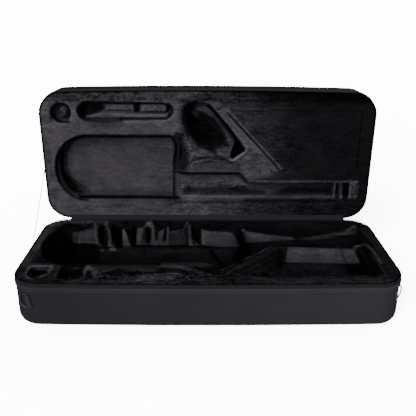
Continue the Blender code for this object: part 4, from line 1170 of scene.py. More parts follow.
    T = dab(T, -150, 140, 12, 8, 0.32)
    T = paint_line(T, [(-130, 55), (-127, 90), (-122, 120)], 2.4, 0.12)
    T = paint_area(T, [(-123, 88), (-113, 66), (-105, 60), (-100, 100), (-96, 156), (-133, 157), (-121, 124)], 0.86, 3.0)
    T = paint_area(T, [(-113, 98), (-106, 96), (-104, 140), (-110, 140)], 0.24, 4.0)
    T = paint_line(T, [(-102, 48), (-99, 90), (-96, 154)], 1.6, 1.00)
    T = paint_line(T, [(-106, 70), (-103, 110), (-100, 140)], 1.6, 0.18, 0.8)
    T = paint_area(T, [(-94, 82), (-82, 76), (-60, 70), (-54, 110), (-53, 155), (-94, 155)], 0.34, 3.4)
    T = paint_line(T, [(-92, 80), (-78, 76), (-62, 70), (-56, 52), (-54, 26)], 2.8, 0.86)
    T = dab(T, -66, 84, 9, 12, 0.18)
    T = dab(T, -74, 140, 20, 12, 0.62, 0.8)
    T = paint_line(T, [(-52, 40), (-50, 90), (-49, 120)], 1.8, 0.12, 0.7)
    T = paint_line(T, [(-48, 42), (-45, 90), (-43, 150)], 2.8, 0.86)
    T = paint_area(T, [(-40, 56), (-16, 60), (-16, 150), (-24, 150), (-36, 124), (-40, 122)], 0.09, 4.0)
    T = dab(T, -34, 90, 4, 26, 0.30, 0.8)
    T = paint_area(T, [(-45, 124), (-36, 122), (-20, 156), (-46, 158)], 1.10, 2.6)
    T = paint_area(T, [(-16, 66), (-8, 76), (60, 87), (66, 116), (75, 160), (20, 162), (-15, 152)], 0.92, 3.0)
    T = paint_line(T, [(-13, 72), (-12, 110), (-12, 148)], 2.6, 1.30)
    T = dab(T, 14, 98, 12, 14, 0.50, 0.75)
    T = paint_line(T, [(22, 158), (60, 158), (72, 157)], 3.5, 1.15, 0.8)
    T = paint_area(T, [(70, 92), (84, 80), (83, 146), (75, 146)], 0.04, 3.0)
    T = paint_line(T, [(-250, 168), (-170, 160), (-20, 162), (20, 168)], 4.5, 0.03, 0.9)
    T = paint_line(T, [(-205, 206), (-150, 199), (-90, 190), (-40, 180)], 5.0, 0.20, 0.9)
    T = dab(T, -70, 186, 34, 9, 0.27, 0.8)
    T = paint_area(T, [(-105, 240), (-10, 240), (12, 254), (-20, 262), (-105, 254)], 0.56, 8.0)
    T = paint_line(T, [(6, 182), (16, 215), (28, 240), (30, 262)], 6.0, 0.03)
    T = paint_line(T, [(-235, 180), (-232, 215), (-236, 240)], 5.0, 0.19, 0.7)
    T = paint_area(T, [(-336, 150), (-262, 152), (-250, 172), (-246, 204), (-252, 246), (-312, 244), (-334, 206)], 0.075, 9.0)
    T = paint_line(T, [(-352, 96), (-340, 130), (-326, 164), (-318, 196)], 6.0, 0.04, 0.8)
    # tail wall and the tube's channel
    T = paint_area(T, [(86, 66), (92, 72), (102, 82), (140, 96), (205, 112), (212, 124), (150, 134), (84, 142)], 0.74, 5.0)
    T = paint_line(T, [(89, 66), (87, 100), (85, 138)], 2.4, 1.20)
    T = dab(T, 112, 112, 26, 16, 0.95, 0.7)
    T = paint_area(T, [(218, 120), (260, 106), (300, 92), (318, 80), (346, 78), (372, 46), (384, 50), (362, 92), (300, 114), (250, 128)], 0.42, 6.0)
    T = dab(T, 326, 90, 16, 7, 0.62, 0.9)
    T = paint_line(T, [(346, 78), (362, 62), (376, 46)], 4.5, 0.85)
    T = paint_line(T, [(300, 107), (330, 106), (354, 106)], 3.4, 0.02)
    T = paint_line(T, [(372, 60), (362, 78), (366, 92), (360, 100)], 2.2, 0.16, 0.9)
    T = paint_area(T, [(76, 148), (170, 136), (340, 122), (352, 148), (334, 168), (186, 156), (160, 150), (120, 178), (100, 200), (60, 246), (30, 262), (40, 200), (72, 170)], 0.17, 6.0)
    T = paint_area(T, [(76, 148), (92, 146), (100, 196), (62, 244), (56, 220)], 0.05, 6.0)
    T = paint_line(T, [(190, 152), (250, 160), (330, 166)], 4.0, 0.06, 0.8)
    # diagonal divider
    T = paint_area(T, [(28, 272), (60, 246), (150, 162), (186, 160), (172, 236), (162, 248), (120, 296), (60, 296)], 0.18, 4.0)
    T = paint_line(T, [(28, 274), (60, 246), (104, 204), (150, 160)], 2.4, 0.62)
    T = paint_line(T, [(40, 284), (70, 254), (114, 212), (158, 170)], 2.4, 0.46)
    T = paint_line(T, [(34, 279), (66, 250), (110, 208), (152, 166)], 2.4, 0.14)
    T = paint_line(T, [(150, 200), (140, 240), (118, 286)], 6.0, 0.24, 0.7)
    T = paint_line(T, [(128, 214), (100, 262)], 6.0, 0.23, 0.6)
    T = paint_line(T, [(166, 180), (160, 236)], 4.0, 0.08, 0.7)
    for k, v in ((0, 0.30), (9, 0.09), (19, 0.24), (28, 0.08), (38, 0.20)):
        T = paint_line(T, [(52 + k, 280 + 0.25 * k), (96 + k * 1.1, 238 + 0.3 * k), (150 + 0.4 * k, 184 + k)], 3.0, v, 0.65)
    T = dab(T, 120, 290, 10, 8, 0.03)
    # compartment
    T = paint_line(T, [(84, 84), (81, 120), (78, 150), (75, 190), (70, 236)], 10.0, 0.02)
    T = paint_area(T, [(188, 161), (240, 166), (300, 172), (340, 170), (336, 242), (300, 243), (172, 238)], 1.05, 4.0)
    T = paint_line(T, [(180, 157), (240, 161), (300, 166), (344, 165)], 8.0, 0.07)
    T = paint_line(T, [(305, 168), (310, 184), (307, 206), (304, 240)], 2.2, 0.34)
    T = dab(T, 298, 200, 8, 14, 0.62, 0.7)
    T = paint_area(T, [(172, 243), (335, 245), (340, 298), (118, 298), (160, 256)], 0.25, 5.0)
    T = paint_area(T, [(296, 246), (338, 247), (344, 297), (298, 297)], 0.05, 12.0)
    T = paint_area(T, [(343, 184), (368, 156), (378, 168), (383, 220), (381, 292), (343, 294), (336, 246)], 0.09, 5.0)
    T = paint_line(T, [(338, 180), (350, 160), (370, 148), (379, 154), (384, 186), (385, 240)], 3.4, 0.95)
    T = paint_line(T, [(357, 190), (353, 240), (350, 285)], 3.4, 0.22, 0.9)
    T = paint_line(T, [(374, 196), (378, 240), (378, 288)], 2.6, 0.42, 0.9)
    T = paint_area(T, [(130, 302), (382, 302), (395, 316), (380, 326), (60, 326), (70, 302)], 0.42, 7.0)
    T = dab(T, 325, 305, 30, 7, 0.60, 0.9)
    T = dab(T, 40, 312, 40, 12, 0.26, 0.8)
    # front left: round pocket, square pocket, the gathered lump and the recess
    T = paint_area(T, [(-396, 246), (-334, 246), (-338, 300), (-366, 318), (-392, 300)], 0.36, 6.0)
    ring = [(-388, 254), (-342, 254)] + [(-365 + 23 * math.cos(math.radians(v)), 279 + 26 * math.sin(math.radians(v))) for v in range(0, 181, 15)]
    T = paint_area(T, ring, 0.07, 2.5)
    T = paint_area(T, [(-385, 256), (-345, 256), (-345, 276), (-385, 270)], 0.46, 5.0)
    T = paint_line(T, ring + ring[:1], 3.6, 1.75)
    T = paint_area(T, [(-322, 252), (-268, 252), (-267, 306), (-320, 307)], 0.07, 5.0)
    T = dab(T, -288, 266, 10, 9, 0.24, 0.8)
    T = paint_line(T, [(-265, 256), (-264, 303)], 3.4, 0.95)
    T = paint_line(T, [(-263, 254), (-248, 274), (-232, 298)], 4.6, 1.15)
    T = paint_area(T, [(-260, 272), (-252, 282), (-246, 300), (-260, 302)], 0.14, 4.0)
    T = paint_area(T, [(-232, 286), (-200, 270), (-150, 262), (-100, 262), (-60, 268), (-36, 290), (-60, 290), (-100, 286), (-150, 290), (-200, 297)], 0.15, 7.0)
    T = paint_area(T, [(-150, 298), (-110, 288), (-60, 289), (-42, 304), (-60, 328), (-150, 328)], 0.78, 9.0)
    T = paint_area(T, [(-170, 270), (-150, 258), (-120, 254), (-104, 262), (-120, 280), (-160, 284)], 0.34, 9.0)
    T = paint_line(T, [(-88, 286), (-66, 288), (-50, 300), (-40, 312)], 2.6, 0.95)
    T = paint_line(T, [(-84, 292), (-66, 296), (-58, 306)], 2.4, 0.12)
    T = paint_line(T, [(-40, 268), (-20, 280), (-6, 296), (10, 300)], 3.0, 0.14)
    T = paint_line(T, [(-100, 252), (-66, 256), (-30, 276), (-14, 290)], 5.5, 1.05)
    T = paint_line(T, [(-30, 258), (-6, 270), (14, 292)], 3.0, 0.10)
    # painted shade along the outer edge of the lining
    T = T * (1 - 0.72 * np.clip((SD + 8) / 4, 0, 1))
    for a, b, ra, rb, v in ((-200, 310, 30, 5, 0.16), (-140, 322, 18, 4, 0.14), (-20, 306, 14, 6, 0.12), (-230, 320, 20, 4, 0.16), (40, 300, 22, 5, 0.10), (-80, 318, 12, 3, 0.20),
                            (160, 312, 26, 4, 0.26), (240, 318, 30, 3, 0.24), (300, 316, 20, 3, 0.30), (-402, 200, 6, 20, 0.25), (-408, 150, 5, 14, 0.30), (-300, 314, 24, 5, 0.20), (-352, 318, 14, 4, 0.18)):
        T = dab(T, a, b, ra, rb, v, 0.75)
    C = C + 0.45 * np.clip((GB - 268) / 20, 0, 1) * np.clip((90 - GA) / 60, 0, 1) + 0.30 * np.clip((GB - 296) / 8, 0, 1)
    C = C * (1 - 0.5 * np.exp(-((GB - 120) / 40) ** 2) * (GA < 90))

    # painted shade on the bell space's shoulder, and the pile painted darker toward the right end
    T = paint_area(T, [(-370, 34), (-336, 32), (-342, 58), (-366, 84), (-386, 110), (-392, 150), (-398, 150), (-392, 96), (-376, 66)], 0.10, 8.0)
    T = T * (1 - 0.36 * np.clip((GA - 380) / 10, 0, 1))
    # the fence and the front edge are brushed most unevenly
    C = C + 0.50 * np.clip((92 - GB) / 10, 0, 1) * np.clip((120 - GA) / 40, 0, 1) + 0.55 * np.clip((GB - 262) / 14, 0, 1)

    def level(a, b, h, normal):
        u, v = seen(a, b, h, False)
        return sampled(T, u, v), sampled(C, u, v)

    lining(H, 16.0, labels, [(n, c) for n, c, _ in order], PLUSH_BASE, False, level, seed=3, crush=0.30)


base_half()


# ---------------------------------------------------------------- lid half
def lid_half():
    H = np.full(GA.shape, -3.0)
    s = -SD
    H = np.where(s < 24, -1.6 - 0.003 * np.clip(s - 10, 0, 30) ** 2, -2.2 - 0.8 * np.clip((s - 24) / 20, 0, 1))
    H = H + 0.4 * value_noise(GA, GB, 42.0, 105) + 0.2 * value_noise(GA, GB, 15.0, 106)
    k = np.clip(s - 2.9, 0, 4.0)
    H = H - 4.0 + np.sqrt(np.maximum(16 - (4 - k) ** 2, 0))

    # bell recess with its padded floor
    left = curve_through([(-312, 221), (-350, 207), (-377, 176), (-387, 138), (-379, 98), (-352, 66), (-318, 55)], 6)
    bell = poly_sd([(-98, 221)] + left + [(-78, 58), (-78, 150), (-76, 188), (-84, 214)])
    H = carve(H, bell, -64.0, rt=4.5, rb=3.0, wall=4.0)
    pad_line = [(-100, 214)] + curve_through([(-310, 213), (-345, 200), (-366, 172), (-374, 138), (-367, 102), (-344, 74), (-315, 64)], 6) + [
        (-88.5, 63), (-89, 100), (-89, 150), (-83, 175), (-82, 195), (-88, 210)]
    pad = poly_sd(pad_line)
    H = lift(H, pad, -56.0 + 0.5 * value_noise(GA, GB, 46.0, 111), r=6.0, wall=2.0)
    # the pad rolls down to the left and the lower left
    H = np.where(pad < 0, H - 2.0 * np.exp(-((-pad) / 14.0) ** 2) * np.clip((-(GA + 300)) / 50, 0, 1), H)

    # below and to the right the pad runs into the wall in one soft curve
    open_bell = poly_sd([(60, 221)] + left + [(60, 58)])
    cove = carve(np.maximum(H, -3.0), open_bell, -56.0 + 0.5 * value_noise(GA, GB, 46.0, 111), rt=3.0, rb=24.0, wall=3.0)
    w = np.clip((GA + 345) / 45, 0, 1) * np.clip((150 - GB) / 50, 0, 1)
    w = w * w * (3 - 2 * w)
    H = np.where(bell < 0, H * (1 - w) + cove * w, H)

    # saddle, deep cavity with its soft slopes, side slot
    saddle = poly_sd([(-90, 137), (-66, 131), (-54, 140), (-46, 165), (-48, 186), (-56, 206), (-62, 222), (-78, 226), (-90, 206)])
    H = carve(H, saddle, -36.0, rt=10.0, rb=14.0, wall=18.0)
    cavity = curve_through([(-58, 232), (-61, 266), (-55, 294), (-34, 303), (-10, 302), (4, 298)], 4) + [(50, 245), (95, 188), (62, 160), (38, 163),
                           (10, 166), (-22, 172), (-40, 186), (-52, 208)]
    cav = poly_sd(cavity)
    H = carve(H, cav, -38.0, rt=4.0, rb=14.0, wall=10.0)
    core = curve_through([(-52, 236), (-54, 268), (-47, 290), (-33, 284), (-12, 270), (20, 252), (42, 226), (46, 204), (28, 190), (-6, 189),
                          (-32, 202)], 4, closed=True)
    H = carve(H, poly_sd(core), -75.0, rt=8.0, rb=8.0, wall=9.0)
    slot = poly_sd([(2, 299), (50, 244), (94, 187), (63, 162), (58, 168), (71, 196), (66, 214), (52, 234), (30, 260), (-4, 290)])
    H = carve(H, slot, -72.0, rt=2.5, rb=3.0, wall=2.5)
    H = bead(H, [(62, 157), (98, 184)], 1.6, 2.2)
    H = bead(H, [(-28, 298), (14, 274)], 3.0, 6.0) * 1.0

    # lobe left of the channel's step, and the wide and narrow channels
    wide = poly_sd([(-84.5, 64), (120, 64), (103, 98), (81, 124.5), (-62, 124.5), (-84.5, 131)])
    step = np.clip((GA - 40) / 60, 0, 1)
    H = carve(H, wide, -44.0 + 8.0 * step * step * (3 - 2 * step), rt=4.0, rb=16.0, wall=4.0)
    narrow = poly_sd([(70, 64), (389, 63), (389, 98), (70, 98)])
    H = carve(H, narrow, -36.0, rt=4.0, rb=8.0, wall=4.0)
    lobe_edge = curve_through([(84, 151), (30, 158), (-10, 158), (-36, 152), (-42, 143), (-34, 134), (0, 131), (70, 130)], 4)
    H = bead(H, lobe_edge, 1.5, 3.2)
    H = H - 2.5 * np.exp(-(line_dist([(-40, 163), (10, 163), (60, 155), (84, 150)])[0] / 3.5) ** 2) * (H > -20)

    # end supports of the narrow channel
    H = lift(H, poly_sd(box_poly(327, 333, 53, 98)), -3.6, 2.4, 1.5)
    H = lift(H, poly_sd(box_poly(340, 347, 53, 98)), -3.6, 2.4, 1.5)
    H = lift(H, poly_sd(box_poly(333, 340, 53, 62)), -3.6, 2.4, 1.5)
    H = lift(H, poly_sd(box_poly(367, 385, 50, 101)), -2.4, 3.5, 2.0)
    H = bead(H, [(103, 100.5), (386, 100.5)], 1.3, 2.6)
    H = bead(H, [(-84, 65), (84, 65)], 0.0, 2.0)

    # long recess: deep at the left, a padded floor in two parts, a ledge along its lower side
    stadium = poly_sd([(-298 + 25 * math.cos(math.radians(a)), 281 + 24.5 * math.sin(math.radians(a))) for a in range(90, 271, 15)]
                      + [(-106 + 20 * math.cos(math.radians(a)), 281 + 20 * math.sin(math.radians(a))) for a in range(-90, 91, 15)])
    H = carve(H, stadium, -36.0, rt=4.0, rb=5.0, wall=3.0)
    H = lift(H, poly_sd([(-256, 280), (-183, 280), (-183, 301), (-256, 301)]), -17.0, 7.0, 12.0)
    H = lift(H, poly_sd([(-167, 278), (-106, 278), (-100, 288), (-106, 300), (-167, 300)]), -15.0, 6.0, 3.0)
    H = lift(H, poly_sd([(-302, 262), (-100, 262), (-100, 273), (-205, 273), (-268, 277), (-302, 267)]), -10.0, 6.0, 5.0)
    H = bead(H, [(-290, 270), (-250, 276), (-205, 275), (-110, 273)], 2.0, 2.4)
    for a, b, r, up in ((-150, 288, 4, 1.6), (-140, 292, 4, -1.5), (-130, 286, 5, 1.8), (-120, 292, 4, 1.4), (-124, 284, 3, -1.2), (-210, 292, 10, 1.2),
                        (-240, 290, 8, -0.8), (-200, 294, 5, -1.2)):
        H = H + up * np.exp(-((GA - a) ** 2 + (GB - b) ** 2) / r ** 2)
    # round recess, its plush gathered in a twist
    da, db = GA + 361, GB - 277
    rad, ang = np.hypot(da, db), np.arctan2(db, da)
    ring = rad - 24.0
    H = carve(H, ring, -27.0, rt=4.0, rb=8.0, wall=4.0)
    twist = np.sin(ang * 2 + rad * 0.34 + 1.2) * np.clip(1 - rad / 24, 0, 1) * np.clip(rad / 6, 0, 1)
    H = H + np.where(rad < 23, 5.5 * twist + 9.0 * np.exp(-((da - 6) ** 2 + (db - 6) ** 2) / 60.0), 0)

    # flat pocket panel with a fine gap round it, the diagonal slit and its ridge
    panel = poly_sd([(60, 285), (374, 285), (380.5, 278), (380.5, 142), (374, 136), (201, 136), (190, 147)])
    H = H - 2.4 * np.exp(-((panel + 0.5) / 1.5) ** 2) * ((GA > 374) | (GB > 280)) - 1.2 * np.exp(-((panel + 0.5) / 2.0) ** 2) * (GB < 150)
    H = np.where(panel < -2, H - 0.9, H)
    d, run = line_dist([(48, 277), (176, 142)])
    H = H - 7.5 * np.exp(-(d / 1.7) ** 2)
    side = (GA - 48) * (142 - 277) - (GB - 277) * (176 - 48)
    H = H + 2.2 * np.exp(-((d - 5.5) / 2.8) ** 2) * (side < 0)
    H = H - 3.0 * np.exp(-(line_dist([(174, 140), (184, 127), (204, 131)])[0] / 3.2) ** 2)
    H = bead(H, [(27, 282), (52, 292)], 1.8, 3.4)
    H = H - 2.0 * np.exp(-(line_dist([(24, 286), (44, 297)])[0] / 2.0) ** 2)
    H = H - 1.6 * np.exp(-(line_dist([(-84, 44), (190, 45), (330, 43)])[0] / 4.5) ** 2)
    H = H + 0.9 * np.exp(-(line_dist([(-84, 33), (300, 33)])[0] / 7.0) ** 2)
    # seam between the left and middle inserts
    H = H - 3.0 * np.exp(-((GA + 85.5) / 2.0) ** 2) * (GB > 40) * (GB < 66)
    for sd, seed in ((bell, 141), (cav, 143), (wide, 145), (narrow, 147), (stadium, 149), (ring, 151)):
        H = pucker(H, sd, 0.4, seed)
    H = H + 0.5 * value_noise(GA * 0.35, GB, 5.0, 160) * np.clip((GA - 60) / 60, 0, 1) * (H > -8)

    # the blocks under the plush
    order = [("lid_border_plush", ["lid_wall_foam", "lid_top_foam"], None),
             ("lid_bell_pad_plush", ["lid_bell_pad"], np.maximum(pad, GA + 88.0)),
             ("lid_pocket_plush", ["lid_pocket_panel"], panel),
             ("lid_inner_support_plush", ["lid_inner_end_support"], poly_sd(box_poly(326, 348, 52, 99))),
             ("lid_outer_support_plush", ["lid_outer_end_support"], poly_sd(box_poly(366, 386, 49, 102))),
             ("lid_left_plush", ["lid_left_insert"], poly_sd([(-430, -5), (-85.8, -5), (-85.8, 345), (-430, 345)])),
             ("lid_middle_plush", ["lid_middle_insert"], poly_sd([(-85.8, -5), (185, -5), (185, 130), (27, 307), (27, 345), (-85.8, 345)])),
             ("lid_right_plush", ["lid_right_insert"], poly_sd([(185, -5), (430, -5), (430, 345), (27, 345), (27, 307), (185, 130)]))]
    labels = np.zeros(GA.shape, int)
    taken = SD >= -22.0
    for k, (name, nodes, sd) in enumerate(order):
        if sd is None:
            continue
        here = (sd < 0) & ~taken
        labels[here] = k
        taken |= here
    labels[~taken] = len(order) - 1

    # painted light and shade of the pile in the rim's plane (lit faces, shaded floors and recesses, dark shadow lines
    # along edges, partly the pile's lie), and its unevenness
    T = np.full(GA.shape, 1.0)
    C = np.full(GA.shape, 0.36)
    # bell recess
    T = paint_area(T, [(-330, 220), (-92, 220), (-92, 229), (-330, 229)], 0.70, 7.0)
    T = dab(T, -265, 206, 40, 12, 0.80, 0.8)
    T = paint_area(T, [(-374, 136), (-356, 122), (-340, 100), (-331, 84), (-318, 74), (-330, 66), (-350, 74), (-368, 96)], 0.22, 12.0)
    edge = curve_through([(-96, 221), (-200, 221), (-308, 221), (-340, 212), (-362, 197), (-379, 170), (-386, 138), (-383, 108), (-370, 82), (-350, 63), (-332, 54), (-312, 51)], 3)
    T = paint_line(T, edge, 3.4, 0.08)
    T = paint_line(T, [(-372, 186), (-382, 160), (-385, 130), (-380, 100), (-366, 78), (-348, 62)], 4.6, 0.10)
    T = paint_area(T, [(-366, 190), (-352, 204), (-330, 206), (-330, 140), (-352, 122), (-362, 140)], 1.35, 16.0)
    T = paint_line(T, [(-356, 203), (-366, 182), (-370, 150), (-368, 118), (-358, 92), (-342, 76)], 3.8, 0.10)
    T = paint_line(T, [(-374, 110), (-362, 84), (-344, 67), (-322, 60)], 1.8, 0.55)
    T = paint_line(T, [(-330, 60), (-300, 61), (-250, 60), (-200, 60), (-150, 60), (-112, 59), (-78, 58)], 8.0, 0.0)
    T = paint_line(T, [(-300, 71), (-200, 71), (-110, 70)], 1.8, 1.12, 0.6)
    T = paint_line(T, [(-94, 208), (-93, 150), (-94, 80)], 3.0, 1.10, 0.7)
    T = paint_line(T, [(-90, 220), (-81, 206), (-81, 176), (-86, 156), (-87, 62)], 3.4, 0.06)
    T = dab(T, -122, 70, 22, 4, 0.55, 0.8)
    T = dab(T, -142, 116, 7, 6, 0.60, 0.7)
    C = dab(C, -130, 100, 60, 40, 0.34)
    C = dab(C, -240, 150, 90, 60, 0.20)
    # long recess
    T = paint_area(T, [(-322, 282), (-317, 296), (-304, 302), (-258, 301), (-250, 291), (-264, 281), (-286, 272), (-302, 258), (-316, 266)], 0.13, 6.0)
    T = dab(T, -290, 284, 6, 14, 0.26, 0.7)
    T = paint_line(T, [(-304, 302), (-200, 302), (-106, 302)], 2.8, 0.08)
    T = paint_line(T, [(-250, 272), (-200, 270), (-108, 270)], 3.0, 0.72, 0.8)
    T = paint_line(T, [(-299, 270), (-276, 273), (-262, 279), (-246, 283)], 2.0, 1.05)
    T = paint_area(T, [(-182, 279), (-169, 279), (-169, 301), (-182, 301)], 0.16, 3.0)
    T = paint_line(T, [(-198, 292), (-188, 288)], 2.0, 0.45, 0.8)
    T = paint_line(T, [(-200, 279), (-150, 279.5), (-108, 279)], 1.4, 0.34)
    T = paint_line(T, [(-215, 268), (-194, 273), (-108, 271)], 2.2, 1.05, 0.7)
    T = paint_line(T, [(-302, 259), (-250, 256), (-214, 259)], 7.0, 0.24)
    T = paint_line(T, [(-216, 265), (-180, 264), (-140, 264), (-104, 265)], 3.0, 0.12)
    T = paint_line(T, [(-106, 300), (-100, 294), (-99, 286), (-104, 280)], 2.6, 0.13)
    T = paint_line(T, [(-108, 304), (-95, 299), (-92, 287), (-96, 276), (-108, 270)], 1.5, 1.10, 0.8)
    T = paint_line(T, [(-96, 302), (-88, 294), (-86, 284), (-92, 273), (-106, 265)], 2.8, 0.16)
    for a, b in ((-150, 289), (-138, 294), (-131, 287), (-122, 293), (-116, 287), (-126, 284)):
        T = dab(T, a, b, 2.6, 2.6, 0.30, 0.9)
    # round recess
    T = paint_area(T, [(-361 + 25 * math.cos(math.radians(v)), 277 + 25 * math.sin(math.radians(v))) for v in range(0, 360, 20)], 0.36, 5.0)
    T = paint_line(T, [(-366, 302), (-378, 294), (-385, 282), (-385, 264)], 5.0, 0.06)
    T = paint_line(T, [(-378, 274), (-374, 262), (-364, 255), (-342, 255)], 3.2, 0.03)
    T = paint_line(T, [(-366, 251), (-342, 251)], 1.4, 1.25, 0.8)
    T = paint_line(T, [(-352, 301), (-342, 294), (-338, 281), (-342, 271), (-352, 267)], 3.0, 0.05)
    T = dab(T, -370, 290, 8, 8, 0.42, 0.8)
    T = dab(T, -364, 270, 6, 6, 0.40, 0.7)
    T = dab(T, -357, 285, 8, 8, 1.30, 0.9)
    T = paint_line(T, [(-349, 262), (-360, 262), (-370, 272)], 2.0, 0.95, 0.8)
    T = paint_line(T, [(-361, 288), (-356, 283), (-352, 288)], 1.4, 0.45, 0.8)
    # saddle and deep cavity
    T = paint_area(T, [(-84, 224), (-64, 230), (-54, 212), (-49, 186), (-47, 150), (-50, 134), (-62, 125), (-84, 132)], 0.17, 20.0)
    T = paint_area(T, [(-62, 230), (-64, 262), (-60, 296), (-44, 306), (-22, 304), (0, 302), (18, 282), (56, 240), (96, 190), (62, 162), (20, 166), (0, 190), (-40, 220)], 0.20, 12.0)
    T = paint_area(T, [(18, 190), (26, 174), (50, 166), (60, 178), (60, 194), (40, 198)], 0.95, 12.0)
    T = paint_area(T, [(-64, 218), (-48, 216), (-22, 188), (0, 178), (-4, 166), (-36, 167), (-50, 182)], 0.95, 14.0)
    T = paint_area(T, [(-50, 232), (-55, 262), (-48, 288), (-36, 284), (-12, 274), (6, 260), (20, 244), (34, 226), (54, 204), (54, 192), (36, 194), (18, 186), (6, 178), (-6, 186), (-26, 196),
                (-42, 216)], 0.085, 15.0)
    T = paint_line(T, [(-32, 284), (-25, 292), (-8, 292), (10, 280)], 8.0, 1.3)
    T = paint_line(T, [(10, 280), (24, 262), (38, 242), (52, 218), (57, 202)], 4.6, 0.8)
    T = dab(T, 57, 212, 6, 14, 1.0, 0.8)
    T = paint_line(T, [(4, 296), (28, 271), (52, 242), (74, 212), (88, 192)], 6.5, 0.02)
    T = paint_area(T, [(70, 204), (90, 192), (96, 184), (62, 162), (54, 170), (66, 184)], 0.03, 3.5)
    T = paint_line(T, [(99, 186), (96, 182), (62, 156.5), (52, 160)], 2.4, 1.7)
    T = paint_line(T, [(100, 178), (66, 152), (56, 153)], 2.2, 0.52, 0.8)
    T = paint_line(T, [(-58, 236), (-62, 256), (-62, 282), (-52, 300), (-30, 306)], 8.0, 0.10, 0.9)
    T = dab(T, -64, 238, 12, 10, 0.50, 0.8)
    # lobe, its step, and the channels
    T = paint_area(T, [(-44, 146), (-30, 158), (0, 166), (40, 162), (84, 150), (84, 130), (-36, 130)], 0.64, 6.0)
    T = paint_line(T, [(-44, 152), (-30, 161), (0, 168), (40, 163), (62, 152)], 4.6, 0.12, 0.9)
    T = paint_line(T, [(-14, 157), (-36, 153), (-44, 144), (-40, 134)], 2.2, 1.10)
    T = paint_line(T, [(-36, 143), (10, 147), (58, 146)], 3.6, 0.82, 0.8)
    T = paint_line(T, [(-20, 152), (20, 155), (56, 151)], 1.8, 0.30, 0.6)
    T = paint_line(T, [(-80, 129), (-50, 125), (80, 125)], 2.8, 0.10)
    T = paint_area(T, [(78, 124), (88, 127), (107, 103), (98, 98)], 0.36, 3.0)
    T = paint_line(T, [(90, 128), (108, 104)], 1.6, 1.00, 0.7)
    T = paint_area(T, [(-60, 92), (90, 92), (110, 86), (150, 80), (150, 66), (-66, 66)], 0.33, 10.0)
    T = paint_area(T, [(-72, 122), (76, 122), (96, 101), (-72, 101)], 1.10, 4.0)
    T = dab(T, 40, 84, 36, 8, 0.34, 0.8)
    T = paint_line(T, [(-10, 62), (84, 62)], 1.3, 1.15)
    T = paint_line(T, [(-72, 110), (-71, 74)], 1.2, 0.60, 0.6)
    C = paint_area(C, [(-70, 104), (103, 104), (103, 66), (-70, 66)], 1.0, 14.0)
    C = paint_area(C, [(-68, 300), (8, 300), (98, 190), (62, 152), (-50, 142), (-72, 220)], 0.85, 16.0)
    # strip along the slit, the slit, the wedge
    T = paint_area(T, [(4, 300), (46, 284), (184, 138), (168, 126), (112, 128), (104, 176), (50, 248)], 0.98, 8.0)
    T = paint_area(T, [(100, 150), (110, 178), (150, 172), (180, 140), (160, 122), (112, 104), (100, 130)], 0.80, 12.0)
    C = paint_area(C, [(60, 285), (200, 285), (240, 140), (190, 104), (110, 104), (70, 150), (100, 186), (128, 190)], 0.70, 20.0)
    # painted shade: the lining painted darker toward the right from x≈60 mm, the lower border darker toward the right,
    # and darker toward the top border and along the outer edge
    right_side_painted_shade = 0.125 + 0.50 * np.exp(-np.clip(GA - 60, 0, None) / 70.0)
    T = paint_area(T, [(6, 334), (52, 276), (186, 134), (165, 122), (106, 104), (430, 104), (430, 334)], right_side_painted_shade, 12.0)
    low = np.clip((60 - GB) / 8, 0, 1)
    T = T * (1 - low) + 1.08 * T * (0.10 + 0.90 * np.exp(-np.clip(GA + 20, 0, None) / 110.0)) * low
    top = np.clip((GA + 60) / 200, 0, 1) * np.clip((GB - 292) / 14, 0, 1)
    T = T * (1 - 0.35 * top)
    T = T * (1 - 0.30 * np.clip((GB - 300) / 8, 0, 1))
    T = T * (1 - 0.80 * np.clip((SD + 9) / 5, 0, 1))
    C = C + 0.30 * top + 0.25 * np.clip((GB - 296) / 8, 0, 1) + 0.15 * (GA < -388)
    for a, b, ra, rb in ((-400, 178, 6, 12), (-402, 152, 5, 10), (-398, 128, 5, 14), (-321, 254, 4, 8), (-404, 210, 4, 14), (-392, 236, 6, 6), (-330, 312, 30, 4), (-180, 312, 40, 4),
                         (-60, 318, 50, 4), (60, 314, 50, 5), (-384, 300, 8, 6), (-396, 60, 8, 10), (-350, 30, 14, 5), (-220, 36, 40, 4), (-150, 24, 30, 4), (-250, 246, 40, 4)):
        T = dab(T, a, b, ra, rb, 0.52, 0.7)
    T = paint_line(T, [(52, 274), (118, 203), (182, 134)], 1.7, 0.15)
    T = paint_line(T, [(57, 277), (123, 206), (188, 138)], 1.7, 1.12, 0.85)
    T = paint_line(T, [(162, 130), (176, 124), (186, 130)], 4.0, 0.22, 0.9)
    T = paint_area(T, [(26, 280), (50, 292), (56, 283), (44, 276)], 1.15, 4.0)
    T = paint_line(T, [(24, 286), (42, 298)], 2.4, 0.46, 0.8)
    T = paint_line(T, [(68, 288), (150, 287)], 1.2, 0.95, 0.7)
    T = paint_line(T, [(60, 284.5), (150, 284), (376, 284)], 1.4, 0.10, 0.6)
    T = paint_line(T, [(380, 282), (380, 138)], 1.8, 0.045, 0.9)
